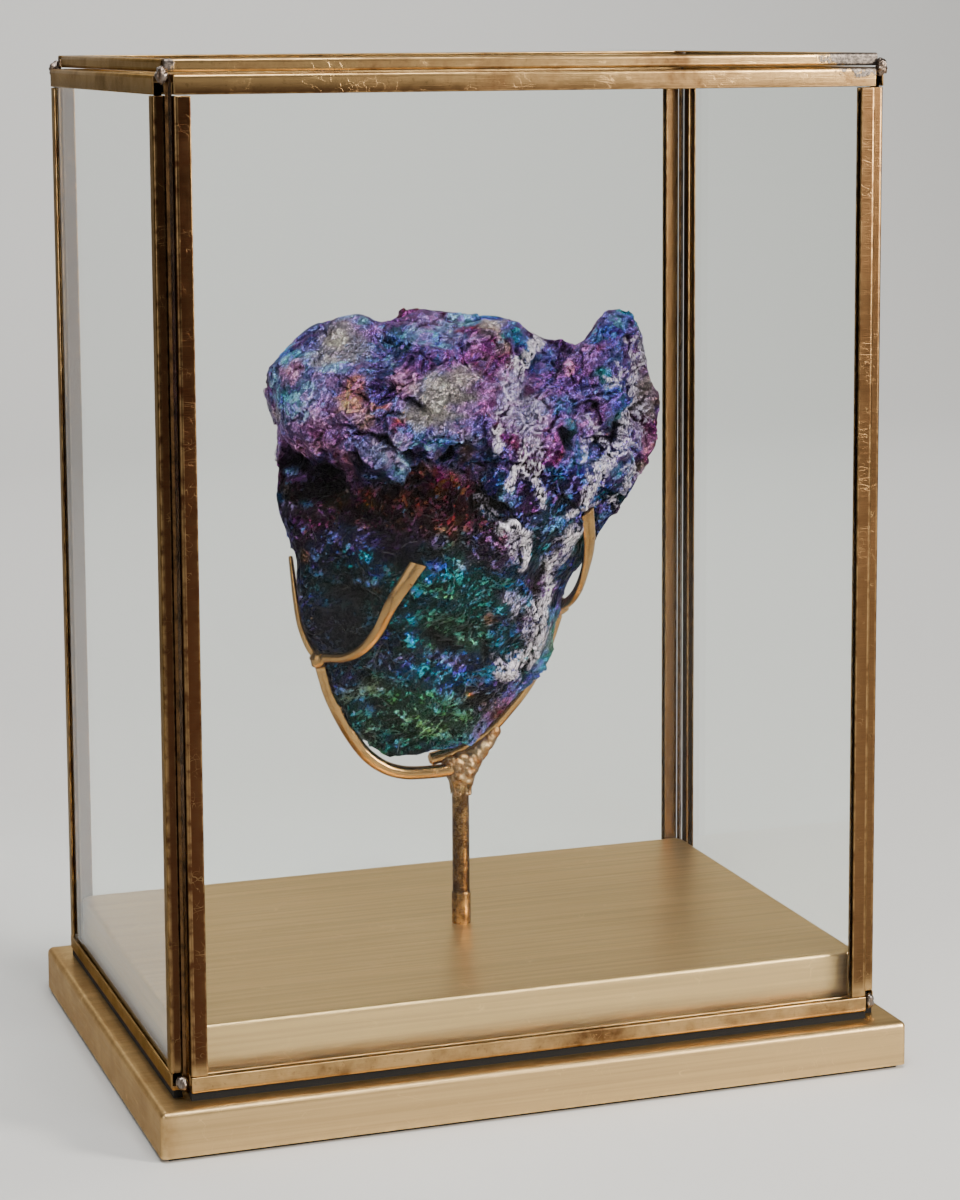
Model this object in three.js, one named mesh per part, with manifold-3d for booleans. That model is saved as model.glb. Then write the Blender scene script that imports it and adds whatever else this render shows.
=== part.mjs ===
// Peacock ore on a brass cradle, under a brass-edged glass cover on a two-tier brass base.
// Millimetres, +Z up. X runs along the wide front, the front faces -Y, and the origin is the middle
// of the underside. The cover stands free on its felt strips and lifts off.
import * as THREE from 'three';
import { mergeVertices } from 'three/addons/utils/BufferGeometryUtils.js';
import { ImprovedNoise } from 'three/addons/math/ImprovedNoise.js';
import Module from 'manifold-3d';

const wasm = await Module();
wasm.setup();

// Base: thin pad, wide plinth, raised platform
const PAD = { width: 278, depth: 198, height: 1.6 };
const PLINTH = { width: 284, depth: 203.5, height: 16.4, corner: 2.2, edge: 2.2 };
const PLATFORM = { width: 258, depth: 171.4, height: 24.3, corner: 4.5, edge: 1.4 };
const PLINTH_TOP = PAD.height + PLINTH.height;
const PLATFORM_TOP = PLINTH_TOP + PLATFORM.height;

// Cover: five panes, each edged on its four sides with brass channel strips
const COVER = { width: 270, depth: 187, felt: 2.6, height: 351 };
const STRIP = { thick: 4.6, wide: 5.8, topWide: 6.8, slotDepth: 4, edge: 0.9 };
const GLASS = 2.8;
const SLOT = 3.2;
const CORNER_STEP = 1.3; // how far each pane stands back past its neighbour's strip, the V of a corner
const TOP_INSET = 3.6; // how far the top pane's frame stands in from the walls
const TOP_SEAM = 0.6;
const GAP = 0.3; // clearance between pieces that meet
const SEAM_DEPTH = 2.4;
const COVER_FOOT = PLINTH_TOP + COVER.felt;
const COVER_TOP = COVER_FOOT + COVER.height;
const FELT = { wide: 3.2, inset: 0.7 };

// Stand: a post on the platform, two bent arms, two pairs of forged prongs
const POST = { x: 1, radius: 3.4, footRadius: 3.75, footHeight: 12.5, top: 97 };
const ARM_RADIUS = 2.6;

// Rock: its broad face looks to the front left, and its upper end leans back
const ROCK = { height: 200, turn: -18.8, lean: -9.8, depth: 42, backDepth: 43, detail: 14 };
const BREAKS = { broad: 26, broadLift: 9, small: 13, smallLift: 3.6 };

const BRASS = { color: 0xb08a52, metalness: 1, roughness: 0.32 };
const AGED_BRASS = { color: 0x9a6e40, metalness: 1, roughness: 0.38 };
const ROD_BRASS = { color: 0xa8773c, metalness: 1, roughness: 0.3 };
const SOLDER = { color: 0xc9c2b4, metalness: 1, roughness: 0.35 };
const CLEAR_GLASS = { color: 0xeef4f4, metalness: 0, roughness: 0.02, transparent: true, opacity: 0.15 };
const BLACK_FELT = { color: 0x151413, metalness: 0, roughness: 0.95 };
const ORE = { color: 0x4a3f70, metalness: 0.6, roughness: 0.45 };

const object = new THREE.Group();

function addPart(parent, name, geometry, finish) {
  const mesh = new THREE.Mesh(geometry, new THREE.MeshStandardMaterial(finish));
  mesh.name = name;
  parent.add(mesh);
  return mesh;
}

// Solids for cutting and joining

function toSolid(geometry) {
  const bare = geometry.clone();
  bare.deleteAttribute('normal');
  bare.deleteAttribute('uv');
  const merged = mergeVertices(bare, 1e-4);
  const vertProperties = new Float32Array(merged.attributes.position.array);
  const triVerts = new Uint32Array(merged.index.array);
  return new wasm.Manifold(new wasm.Mesh({ numProp: 3, vertProperties, triVerts }));
}

// The largest body of a solid, without the crumbs that a cut may leave.
function mainBody(solid) {
  return solid.decompose().reduce((best, body) => (body.volume() > best.volume() ? body : best));
}

function toGeometry(solid) {
  const mesh = solid.getMesh();
  const geometry = new THREE.BufferGeometry();
  geometry.setAttribute('position', new THREE.BufferAttribute(mesh.vertProperties.slice(), 3));
  geometry.setIndex(new THREE.BufferAttribute(mesh.triVerts.slice(), 1));
  return geometry;
}

// Base

function roundedRectangle(width, depth, radius) {
  const [x, y] = [width / 2, depth / 2];
  const shape = new THREE.Shape();
  shape.moveTo(x, -y + radius);
  shape.lineTo(x, y - radius);
  shape.absarc(x - radius, y - radius, radius, 0, Math.PI / 2);
  shape.lineTo(-x + radius, y);
  shape.absarc(-x + radius, y - radius, radius, Math.PI / 2, Math.PI);
  shape.lineTo(-x, -y + radius);
  shape.absarc(-x + radius, -y + radius, radius, Math.PI, Math.PI * 1.5);
  shape.lineTo(x - radius, -y);
  shape.absarc(x - radius, -y + radius, radius, Math.PI * 1.5, Math.PI * 2);
  return shape;
}

// A block with rounded upright corners, a rounded top edge and a sharp bottom edge.
function tier({ width, depth, height, corner, edge }, foot) {
  const under = edge * 3;
  const outline = roundedRectangle(width - 2 * edge, depth - 2 * edge, Math.max(corner - edge, 0.3));
  const block = new THREE.ExtrudeGeometry(outline, {
    depth: height + under - 2 * edge,
    bevelSize: edge,
    bevelThickness: edge,
    bevelSegments: 2,
    curveSegments: 2,
  });
  block.translate(0, 0, foot - under + edge);
  const cutter = new THREE.BoxGeometry(width * 1.1, depth * 1.1, under * 2);
  cutter.translate(0, 0, foot - under);
  return toGeometry(toSolid(block).subtract(toSolid(cutter)));
}

function addBase() {
  const pad = new THREE.BoxGeometry(PAD.width, PAD.depth, PAD.height);
  addPart(object, 'base_pad', pad, BLACK_FELT).position.z = PAD.height / 2;
  addPart(object, 'plinth', tier(PLINTH, PAD.height), BRASS);
  addPart(object, 'raised_platform', tier(PLATFORM, PLINTH_TOP), BRASS);
}

// Cover

// Section of a channel strip: the web's outer face lies on y = 0 and the slot opens towards +Y.
function channelSection(wide) {
  const [half, slot] = [STRIP.thick / 2, SLOT / 2];
  const floor = wide - STRIP.slotDepth;
  const shape = new THREE.Shape();
  shape.moveTo(-half, wide);
  shape.lineTo(-half, STRIP.edge);
  shape.absarc(-half + STRIP.edge, STRIP.edge, STRIP.edge, Math.PI, Math.PI * 1.5);
  shape.lineTo(half - STRIP.edge, 0);
  shape.absarc(half - STRIP.edge, STRIP.edge, STRIP.edge, Math.PI * 1.5, Math.PI * 2);
  shape.lineTo(half, wide);
  shape.lineTo(slot, wide);
  shape.lineTo(slot, floor);
  shape.lineTo(-slot, floor);
  shape.lineTo(-slot, wide);
  shape.closePath();
  return shape;
}

function channelStrip(wide, length) {
  const strip = new THREE.ExtrudeGeometry(channelSection(wide), {
    depth: length,
    bevelEnabled: false,
    curveSegments: 1,
  });
  strip.translate(0, 0, -length / 2);
  return strip;
}

// A framed pane, built upright in a group of its own: u runs across it, z up it, and it is
// STRIP.thick through. Its upper and lower strips run the full width, and the others stand between.
function framedPane(name, across, up, upperWide) {
  const pane = new THREE.Group();
  const rest = up - STRIP.wide - upperWide - 2 * GAP;
  const middle = (STRIP.wide - upperWide) / 2;
  const strips = [
    ['lower', STRIP.wide, across, [0, 0, -up / 2], 0],
    ['upper', upperWide, across, [0, 0, up / 2], Math.PI],
    ['left', STRIP.wide, rest, [-across / 2, 0, middle], Math.PI / 2],
    ['right', STRIP.wide, rest, [across / 2, 0, middle], -Math.PI / 2],
  ];
  for (const [side, wide, length, place, turn] of strips) {
    const geometry = channelStrip(wide, length);
    // The slot's direction turns from +Y to +Z, and the strip's length from Z to X.
    geometry.rotateX(Math.PI / 2);
    geometry.rotateZ(Math.PI / 2);
    geometry.rotateY(turn);
    addPart(pane, `${name}_strip_${side}`, geometry, AGED_BRASS).position.set(...place);
  }
  const webs = [STRIP.wide - STRIP.slotDepth, upperWide - STRIP.slotDepth];
  const glass = new THREE.BoxGeometry(
    across - 2 * webs[0] - 2 * GAP,
    GLASS,
    up - webs[0] - webs[1] - 2 * GAP,
  );
  addPart(pane, `${name}_pane`, glass, CLEAR_GLASS).position.z = (webs[0] - webs[1]) / 2;
  object.add(pane);
  return pane;
}

function addCover() {
  const step = STRIP.thick + CORNER_STEP;
  const middle = COVER_FOOT + COVER.height / 2;
  const wallY = COVER.depth / 2 - STRIP.thick / 2;
  const wallX = COVER.width / 2 - STRIP.thick / 2;
  const walls = [
    ['front', COVER.width, [0, -wallY], 0],
    ['back', COVER.width, [0, wallY], Math.PI],
    ['left', COVER.depth, [-wallX, 0], -Math.PI / 2],
    ['right', COVER.depth, [wallX, 0], Math.PI / 2],
  ];
  for (const [name, span, [x, y], turn] of walls) {
    const wall = framedPane(name, span - 2 * step, COVER.height, STRIP.topWide);
    wall.rotation.z = turn;
    wall.position.set(x, y, middle);
  }
  const lid = framedPane(
    'top',
    COVER.width - 2 * TOP_INSET,
    COVER.depth - 2 * TOP_INSET,
    STRIP.wide,
  );
  lid.rotation.x = -Math.PI / 2;
  lid.position.z = COVER_TOP + TOP_SEAM + STRIP.thick / 2;
}

// A bead of solder down each upright corner closes the slit between two walls' strips.
function addCornerSeams() {
  const slit = CORNER_STEP * Math.SQRT2;
  const inset = STRIP.thick + CORNER_STEP / 2;
  for (const [depth, sy] of [['front', -1], ['back', 1]]) {
    for (const [side, sx] of [['left', -1], ['right', 1]]) {
      const bead = new THREE.BoxGeometry(slit - 2 * GAP, SEAM_DEPTH, COVER.height);
      const seam = addPart(object, `solder_seam_${depth}_${side}`, bead, SOLDER);
      seam.rotation.z = -sx * sy * Math.PI / 4;
      seam.position.set(
        sx * (COVER.width / 2 - inset),
        sy * (COVER.depth / 2 - inset),
        COVER_FOOT + COVER.height / 2,
      );
    }
  }
}

// Four felt strips that the cover's walls stand on, face to face.
function addFelt() {
  const step = STRIP.thick + CORNER_STEP;
  const reach = FELT.inset + FELT.wide / 2;
  const long = COVER.width - 2 * step;
  const short = COVER.depth - 2 * step;
  const runs = [
    ['front', long, 0, -COVER.depth / 2 + reach, 0],
    ['back', long, 0, COVER.depth / 2 - reach, 0],
    ['left', short, -COVER.width / 2 + reach, 0, Math.PI / 2],
    ['right', short, COVER.width / 2 - reach, 0, Math.PI / 2],
  ];
  for (const [side, length, x, y, turn] of runs) {
    const strip = new THREE.BoxGeometry(length, FELT.wide, COVER.felt);
    strip.rotateZ(turn);
    const felt = addPart(object, `felt_strip_${side}`, strip, BLACK_FELT);
    felt.position.set(x, y, PLINTH_TOP + COVER.felt / 2);
  }
}

// Lumpy solder, as a small sphere with its surface pushed in and out.
const noise = new ImprovedNoise();

function lump(radius, place, seed, rings = 5) {
  const ball = new THREE.SphereGeometry(1, rings + 3, rings);
  const at = ball.attributes.position;
  const point = new THREE.Vector3();
  for (let i = 0; i < at.count; i += 1) {
    point.fromBufferAttribute(at, i);
    const swell = 1 + 0.22 * noise.noise(point.x * 1.7 + seed, point.y * 1.7, point.z * 1.7 - seed);
    point.multiplyScalar(swell).multiply(radius).add(place);
    at.setXYZ(i, point.x, point.y, point.z);
  }
  return ball;
}

// A lump of solder fills the V at each corner of the cover, where three framed panes meet at the top
// and two at the bottom.
const SOLDER_ENDS = [
  { end: 'top', z: COVER_TOP + TOP_SEAM / 2, tall: 3, radius: 2, inset: 2.1 },
  { end: 'bottom', z: COVER_FOOT + STRIP.wide * 0.45, tall: 1.8, radius: 1.95, inset: 2.8 },
];

function addCornerSolder() {
  let seed = 1;
  for (const { end, z, tall, radius, inset } of SOLDER_ENDS) {
    for (const [depth, sy] of [['front', -1], ['back', 1]]) {
      for (const [side, sx] of [['left', -1], ['right', 1]]) {
        const place = new THREE.Vector3(
          sx * (COVER.width / 2 - inset),
          sy * (COVER.depth / 2 - inset),
          z,
        );
        const dot = lump(new THREE.Vector3(radius, radius, tall), place, seed * 3.7);
        addPart(object, `solder_${end}_${depth}_${side}`, dot, SOLDER);
        seed += 1;
      }
    }
  }
}

// Stand

const at = (x, y, z) => new THREE.Vector3(x, y, z);

const LEFT_FORK = at(-54.5, 0.5, 150.5);
const RIGHT_FORK = at(42, 1, 164);

const LEFT_ARM = [
  at(-2.5, 0, 103.2), at(-11.2, 0, 103), at(-21.3, 0, 103.6), at(-29.3, 0, 106.3),
  at(-37.3, 0, 112.6), at(-45.3, 0, 124.6), at(-51, 0, 137), at(-54, 0.3, 147.5),
];
const RIGHT_ARM = [
  at(-10, 3, 107.2), at(-3, 2.5, 109), at(7, 2, 113.6), at(14.5, 1.5, 118.6),
  at(22, 1, 126.2), at(29.5, 1, 135.4), at(36, 1, 147.5), at(41, 1, 161),
];
// Each prong runs from its fork to its tip; the rock lies on its inner side.
const PRONGS = {
  left_back_prong: [
    LEFT_FORK, at(-57.2, 3, 154.3), at(-59.8, 6, 161.7), at(-61, 8.5, 170.8),
    at(-61.4, 11.5, 179.4), at(-61.4, 15, 187.2),
  ],
  left_front_prong: [
    LEFT_FORK, at(-52, -4.5, 151.7), at(-48.3, -11, 152.6), at(-43.3, -17, 156.4),
    at(-39, -23, 164), at(-36, -32, 176.2), at(-27.3, -37.2, 191.3),
  ],
  right_front_prong: [
    RIGHT_FORK, at(43.6, -6, 167), at(45, -12, 172.5), at(46.2, -17.4, 182.3),
    at(45.8, -22.4, 192), at(42.4, -28.8, 205.4),
  ],
  right_back_prong: [
    RIGHT_FORK, at(42.6, 7, 167), at(42.6, 13.5, 172.8), at(41.6, 18.5, 181.8),
    at(39.2, 23, 191.5), at(37, 27, 200),
  ],
};

// Sweeps a section that may change on its way: a straight extrusion is laid along the curve, with
// its wide side square to the line from the curve to the inner point.
function forgedRod(points, inner, sizes, { sides = 8, steps = 16, grow = 0 } = {}) {
  const curve = new THREE.CatmullRomCurve3(points, false, 'centripetal');
  const circle = new THREE.Shape().absarc(0, 0, 1, 0, Math.PI * 2);
  const rod = new THREE.ExtrudeGeometry(circle, {
    depth: 1,
    steps,
    bevelEnabled: false,
    curveSegments: sides / 2,
  });
  const place = rod.attributes.position;
  for (let i = 0; i < place.count; i += 1) {
    const t = place.getZ(i);
    const [wide, thick] = sizes(t);
    const centre = curve.getPointAt(t);
    const along = curve.getTangentAt(t);
    const inward = inner.clone().sub(centre).projectOnPlane(along).normalize();
    const across = inward.clone().cross(along);
    centre.addScaledVector(along, grow * (2 * t - 1));
    centre.addScaledVector(across, place.getX(i) * (wide + grow));
    centre.addScaledVector(inward, place.getY(i) * (thick + grow));
    place.setXYZ(i, centre.x, centre.y, centre.z);
  }
  rod.deleteAttribute('normal');
  rod.deleteAttribute('uv');
  return mergeVertices(rod, 1e-4);
}

const ROCK_MIDDLE = at(POST.x, 0, ROCK.height);
const armSize = () => [ARM_RADIUS, ARM_RADIUS];
// A prong starts as a round rod and is hammered wide and thin at its tip.
const prongSize = (t) => [2.1 + 0.9 * t * t, 2.1 - 1.15 * t];

function armGeometry(points, grow = 0) {
  return forgedRod(points, ROCK_MIDDLE, armSize, { steps: 12, grow });
}

function prongGeometry(points, grow = 0) {
  return forgedRod(points, ROCK_MIDDLE, prongSize, { steps: 9, grow });
}

function forkGeometry(place, grow = 0) {
  const size = 3.5 + grow;
  return lump(at(size, size, size), place, place.x, 6);
}

// Post: a round rod in a slightly wider foot.
function postGeometry(grow) {
  const { radius, footRadius, footHeight, top } = POST;
  const foot = PLATFORM_TOP;
  const profile = [
    [0, foot], [footRadius, foot], [footRadius, foot + footHeight - 0.5],
    [footRadius - 0.4, foot + footHeight], [radius + grow, foot + footHeight + 0.2],
    [radius + grow, top + grow], [0, top + grow],
  ];
  const post = new THREE.LatheGeometry(profile.map(([r, z]) => new THREE.Vector2(r, z)), 16);
  post.rotateX(Math.PI / 2);
  post.translate(POST.x, 0, 0);
  return post;
}

// The rough weld that joins the post and both arms: a neck that flares upwards, and a row of beads
// under the right arm.
const WELD_NECK = [at(1, 0, 93.5), at(0.9, 0.2, 98), at(0.9, 0.6, 102.5), at(1.6, 1, 107)];
const WELD_BEADS = [
  { radius: at(2.6, 3.2, 2.2), place: at(-3.4, 1.2, 105.6) },
  { radius: at(3.6, 3.6, 3), place: at(1.6, 1, 107.4) },
  { radius: at(3.4, 3.4, 2.8), place: at(6.6, 1, 109.6) },
  { radius: at(2.6, 2.8, 2.6), place: at(10.6, 1, 112) },
];

function weldGeometry() {
  const behind = at(0, 500, 100);
  const flare = (t) => [4 + 3.2 * t * t, 4 - 0.4 * t];
  let weld = toSolid(forgedRod(WELD_NECK, behind, flare, { sides: 10, steps: 4 }));
  for (const [i, { radius, place }] of WELD_BEADS.entries()) {
    weld = weld.add(toSolid(lump(radius, place, 2.1 + 3.1 * i, 5)));
  }
  return weld;
}

// Rock

// Outline of the rock's broad face, as [across, up] from its middle.
const OUTLINE = [
  [-72.5, 58], [-72.4, 42], [-70, 36], [-70.4, 23], [-69, 8], [-65.8, -3], [-63, -14],
  [-61.4, -25], [-57.6, -39], [-52, -49], [-48.5, -60], [-43.4, -71], [-35.5, -82.5], [-28.5, -87.8],
  [-18.7, -90.6],
  [-9.5, -89], [2.2, -85.2], [14.7, -74.6], [25, -63.2], [34.6, -53.6], [36.5, -42],
  [39.9, -29.2], [52.5, -8], [65, 10.6], [69.8, 21.3], [75.6, 26.4], [76.1, 35], [78, 46.8],
  [74, 54.8], [72, 65.2], [69.6, 75], [64.8, 80], [58.6, 80.4], [54.4, 76.4], [51, 69.6],
  [46.8, 67.8], [42.3, 65.2], [39.2, 68], [29.5, 69.3], [23.1, 72.8], [14.5, 77.8],
  [-4, 78.4], [-14, 80], [-24.8, 77.8], [-29.2, 74.2], [-38.4, 77], [-49, 73.2],
  [-58.5, 69.8], [-65.2, 64.8],
];
const OUTLINE_STEPS = 720;

const smooth = (low, high, value) => THREE.MathUtils.smoothstep(value, low, high);
const mix = THREE.MathUtils.lerp;

// How near [x, z] is to a spot of the given size, from 1 in its middle to 0 at its rim.
function spot(x, z, [cx, cz], [rx, rz]) {
  const far = Math.hypot((x - cx) / rx, (z - cz) / rz);
  return 1 - smooth(0, 1, far);
}

// Height of the bulging upper band's lower edge at x.
function ledgeLine(x) {
  const left = mix(33, 22, smooth(-72, -42, x));
  const tongue = 7 * spot(x, 0, [-31, 0], [14, 1]);
  return left - tongue + 4 * smooth(-24, -10, x) - 4 * smooth(2, 16, x);
}

// How far across the ridge between the broad face and the right face lies at height z.
function ridgeLine(z) {
  return 17 + 14 * smooth(0, 70, z) + 15 * smooth(-5, -50, z);
}

// How far the rock's middle is bent out of its plane, so that its lower half lies in the cradle's.
function bend(x, z) {
  const turned = Math.tan(THREE.MathUtils.degToRad(-ROCK.turn)) * x;
  const leant = Math.tan(THREE.MathUtils.degToRad(ROCK.lean)) * z;
  return 0.85 * (turned + leant) * smooth(-10, 45, -z);
}

// Lumps and hollows of the two sides: how far each stands out (or lies in, where it is negative),
// its middle as [across, up], and its reach each way.
const NEAR_FORMS = [
  { out: 6, middle: [-48, 48], reach: [26, 20] }, // bulging upper left corner
  { out: -5, middle: [-27, 60], reach: [9, 24] }, // valley between the two upper bulges
  { out: 5, middle: [-8, 56], reach: [24, 18] }, // upper middle bulge
  { out: -5, middle: [-31, 23], reach: [16, 8] }, // bay in the ledge
  { out: 6, middle: [17, 10], reach: [14, 30] }, // ridge between the broad face and the right one
  { out: -7, middle: [9, 3], reach: [9, 7] }, // pit beside the ridge
  { out: -9, middle: [43, 60], reach: [11, 28] }, // notch beside the horn
  { out: -7, middle: [50, 27], reach: [12, 15] }, // hollow in the right face
  { out: 5, middle: [62, 34], reach: [10, 26] }, // right edge
  { out: -8, middle: [49, 0], reach: [17, 20] }, // hollow where a prong's tip lies
  { out: -5, middle: [-44, -22], reach: [14, 12] }, // hollow behind the left front prong
  { out: -6, middle: [-3, -46], reach: [17, 12] }, // hollow above the foot
  { out: 5, middle: [30, -34], reach: [14, 22] }, // lower right bulge
  { out: 6, middle: [-12, -72], reach: [22, 16] }, // foot
];
const FAR_FORMS = [
  { out: 6, middle: [-32, 18], reach: [26, 30] },
  { out: -8, middle: [6, -6], reach: [30, 12] },
  { out: 5, middle: [20, 40], reach: [26, 22] },
  { out: -8, middle: [42, 52], reach: [14, 22] },
];
const LEDGE_OUT = 7; // how far the upper band stands out over the hollow beneath, which lies in as far
const THINNEST = 12;

const formsAt = (forms, x, z) => forms.reduce(
  (sum, { out, middle, reach }) => sum + out * spot(x, z, middle, reach),
  0,
);

// The near side: how deep the body is, and how far its forms stand out of it or lie back in it.
function nearSide(x, z) {
  const past = x - ridgeLine(z);
  const taper = mix(0.42, 1, smooth(-95, 5, z));
  const body = ROCK.depth * taper - 0.8 * Math.max(past, 0) - 0.07 * Math.max(-past - 30, 0);
  // The upper band overhangs a hollow, deepest at the left, and dies out at the ridge.
  const over = z - ledgeLine(x);
  const ledge = smooth(-1.2, 2.2, over) - smooth(-38, -7, over) * (1 - smooth(-2.5, 0, over));
  const form = LEDGE_OUT * (1 - smooth(6, 26, x)) * ledge + formsAt(NEAR_FORMS, x, z);
  return [Math.max(body, THINNEST), form];
}

// The far side: three broad breaks that meet in a slanting ridge, with a step across it.
function farSide(x, z) {
  const taper = mix(0.4, 1, smooth(-95, 10, z));
  const left = ROCK.backDepth + 0.35 * (x + 20);
  const right = ROCK.backDepth - 0.45 * (x - 10) - 0.1 * z;
  const upper = ROCK.backDepth + 6 - 0.5 * Math.max(z - 25, 0);
  const body = taper * Math.min(left, right, upper, ROCK.backDepth + 2);
  const step = 6 * smooth(-14, -11, z + 0.3 * x) - 6;
  return [Math.max(body, THINNEST), step + formsAt(FAR_FORMS, x, z)];
}

// A number from 0 to 1 that is always the same for a cell of space.
function cellValue(ix, iy, iz, key) {
  const wave = Math.sin(ix * 127.1 + iy * 311.7 + iz * 74.7 + key * 53.3) * 43758.5453;
  return wave - Math.floor(wave);
}

// Broken faces: every cell of space has a scattered point with a tilted, slightly domed face, and
// the highest face wins, so that neighbouring faces meet in a crease.
function brokenFaces(point, size) {
  const p = point.clone().divideScalar(size);
  const [bx, by, bz] = p.toArray().map(Math.floor);
  const cell = new THREE.Vector3();
  let height = -Infinity;
  for (let ix = bx - 1; ix <= bx + 1; ix += 1) {
    for (let iy = by - 1; iy <= by + 1; iy += 1) {
      for (let iz = bz - 1; iz <= bz + 1; iz += 1) {
        const [a, b, c, lift] = [1, 2, 3, 4].map((key) => cellValue(ix, iy, iz, key));
        cell.set(ix + a, iy + b, iz + c).sub(p);
        const tilt = (b - 0.5) * cell.x + (c - 0.5) * cell.y + (a - 0.5) * cell.z;
        height = Math.max(height, lift - 0.5 + 1.2 * tilt - 0.9 * cell.lengthSq());
      }
    }
  }
  return height;
}

function outlinePoints() {
  const corners = OUTLINE.map(([x, z]) => at(x, 0, z));
  const curve = new THREE.CatmullRomCurve3(corners, true, 'centripetal');
  return curve.getSpacedPoints(OUTLINE_STEPS);
}

// A fine ball is spread over the outline: its pole becomes the middle of the broad face, its equator
// the outline, and its two halves the near and far sides. Then it is broken into faces.
function rockGeometry() {
  const ball = new THREE.IcosahedronGeometry(1, ROCK.detail);
  ball.deleteAttribute('normal');
  ball.deleteAttribute('uv');
  const rock = mergeVertices(ball, 1e-4);
  const rim = outlinePoints();
  const middle = at(2, 0, 8);
  // The outline starts at its upper left, so the ball's turn is measured from there.
  const start = Math.atan2(OUTLINE[0][1] - middle.z, OUTLINE[0][0] - middle.x);
  const place = rock.attributes.position;
  const point = new THREE.Vector3();
  for (let i = 0; i < place.count; i += 1) {
    point.fromBufferAttribute(place, i);
    const turn = THREE.MathUtils.euclideanModulo(Math.atan2(point.z, point.x) - start, Math.PI * 2);
    const share = turn / (Math.PI * 2) * OUTLINE_STEPS;
    const step = Math.min(Math.floor(share), OUTLINE_STEPS - 1);
    const edge = rim[step].clone().lerp(rim[step + 1], share - step);
    const spread = Math.min(Math.hypot(point.x, point.z), 1);
    const x = mix(middle.x, edge.x, spread);
    const z = mix(middle.z, edge.z, spread);
    const dome = Math.pow(Math.max(1 - Math.pow(spread, 2.4), 0), 0.56);
    const [body, form] = point.y < 0 ? nearSide(x, z) : farSide(x, z);
    const depth = body * dome + form * smooth(0, 0.45, dome);
    const laid = at(x, Math.sign(point.y) * depth + bend(x, z), z);
    const out = at(x - middle.x, laid.y * 2.2, z - middle.z).normalize();
    const broad = brokenFaces(laid, BREAKS.broad) * BREAKS.broadLift;
    const small = brokenFaces(at(laid.z, laid.x, laid.y), BREAKS.small) * BREAKS.smallLift;
    laid.addScaledVector(out, (broad + small) * mix(0.3, 1, dome));
    place.setXYZ(i, laid.x, laid.y, laid.z);
  }
  rock.rotateX(THREE.MathUtils.degToRad(ROCK.lean));
  rock.rotateZ(THREE.MathUtils.degToRad(ROCK.turn));
  rock.translate(POST.x, 0, ROCK.height);
  return rock;
}

// Every metal piece is cut clear of the ones that it is soldered to, and the rock is seated on them.
function addStandAndRock() {
  const cut = (solid, tools) => mainBody(tools.reduce((left, tool) => left.subtract(tool), solid));
  const leftCut = toSolid(armGeometry(LEFT_ARM, GAP));
  const rightCut = toSolid(armGeometry(RIGHT_ARM, GAP));
  const leftForkCut = toSolid(forkGeometry(LEFT_FORK, GAP));
  const rightForkCut = toSolid(forkGeometry(RIGHT_FORK, GAP));
  const prongCuts = Object.values(PRONGS).map((path) => toSolid(prongGeometry(path, GAP)));

  const post = postGeometry(0);
  const weld = cut(weldGeometry(), [toSolid(postGeometry(GAP)), leftCut, rightCut]);
  const leftArm = cut(toSolid(armGeometry(LEFT_ARM)), [leftForkCut, rightCut]);
  const rightArm = cut(toSolid(armGeometry(RIGHT_ARM)), [rightForkCut]);
  addPart(object, 'post', post, ROD_BRASS);
  addPart(object, 'weld', toGeometry(weld), SOLDER);
  addPart(object, 'left_arm', toGeometry(leftArm), ROD_BRASS);
  addPart(object, 'right_arm', toGeometry(rightArm), ROD_BRASS);
  addPart(object, 'left_fork', forkGeometry(LEFT_FORK), ROD_BRASS);
  addPart(object, 'right_fork', forkGeometry(RIGHT_FORK), ROD_BRASS);
  for (const [name, path] of Object.entries(PRONGS)) {
    const prong = cut(toSolid(prongGeometry(path)), [leftForkCut, rightForkCut]);
    addPart(object, name, toGeometry(prong), ROD_BRASS);
  }
  const cradle = [leftCut, rightCut, leftForkCut, rightForkCut, ...prongCuts];
  addPart(object, 'peacock_ore', toGeometry(cut(toSolid(rockGeometry()), cradle)), ORE);
}

addBase();
addFelt();
addCover();
addCornerSeams();
addCornerSolder();
addStandAndRock();

export default object;
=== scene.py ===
"""Peacock ore on a brass cradle, in a glass case with brass edges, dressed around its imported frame.

Lengths are metres, apart from those said to be millimetres.
"""

import itertools
import math

import bmesh
import bpy
import numpy as np
from bpy.props import FloatProperty, FloatVectorProperty, IntProperty, PointerProperty
from mathutils import Matrix, Vector


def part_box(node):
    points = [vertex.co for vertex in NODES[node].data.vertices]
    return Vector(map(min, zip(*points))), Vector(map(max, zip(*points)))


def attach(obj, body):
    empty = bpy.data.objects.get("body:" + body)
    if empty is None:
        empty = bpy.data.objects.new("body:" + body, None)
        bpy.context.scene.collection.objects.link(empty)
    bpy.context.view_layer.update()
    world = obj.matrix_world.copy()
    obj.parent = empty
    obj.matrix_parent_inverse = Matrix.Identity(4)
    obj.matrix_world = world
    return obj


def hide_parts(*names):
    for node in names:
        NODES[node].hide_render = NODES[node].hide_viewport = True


bl_info = {
    "name": "Peacock Ore Display Case",
    "version": (1, 0, 0),
    "blender": (4, 5, 0),
    "location": "View3D > Sidebar > Display Case",
    "description": "Dresses a mounted peacock ore specimen and its brass and glass case",
    "category": "Add Mesh",
}

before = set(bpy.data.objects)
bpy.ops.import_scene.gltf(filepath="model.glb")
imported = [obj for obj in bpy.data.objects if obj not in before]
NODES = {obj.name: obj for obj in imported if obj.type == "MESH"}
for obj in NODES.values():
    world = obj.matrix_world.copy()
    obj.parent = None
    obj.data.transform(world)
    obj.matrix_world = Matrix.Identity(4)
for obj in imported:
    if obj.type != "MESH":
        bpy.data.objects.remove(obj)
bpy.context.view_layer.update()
BODY = "root"
MM = 0.001


# Numbers and noise


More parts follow.
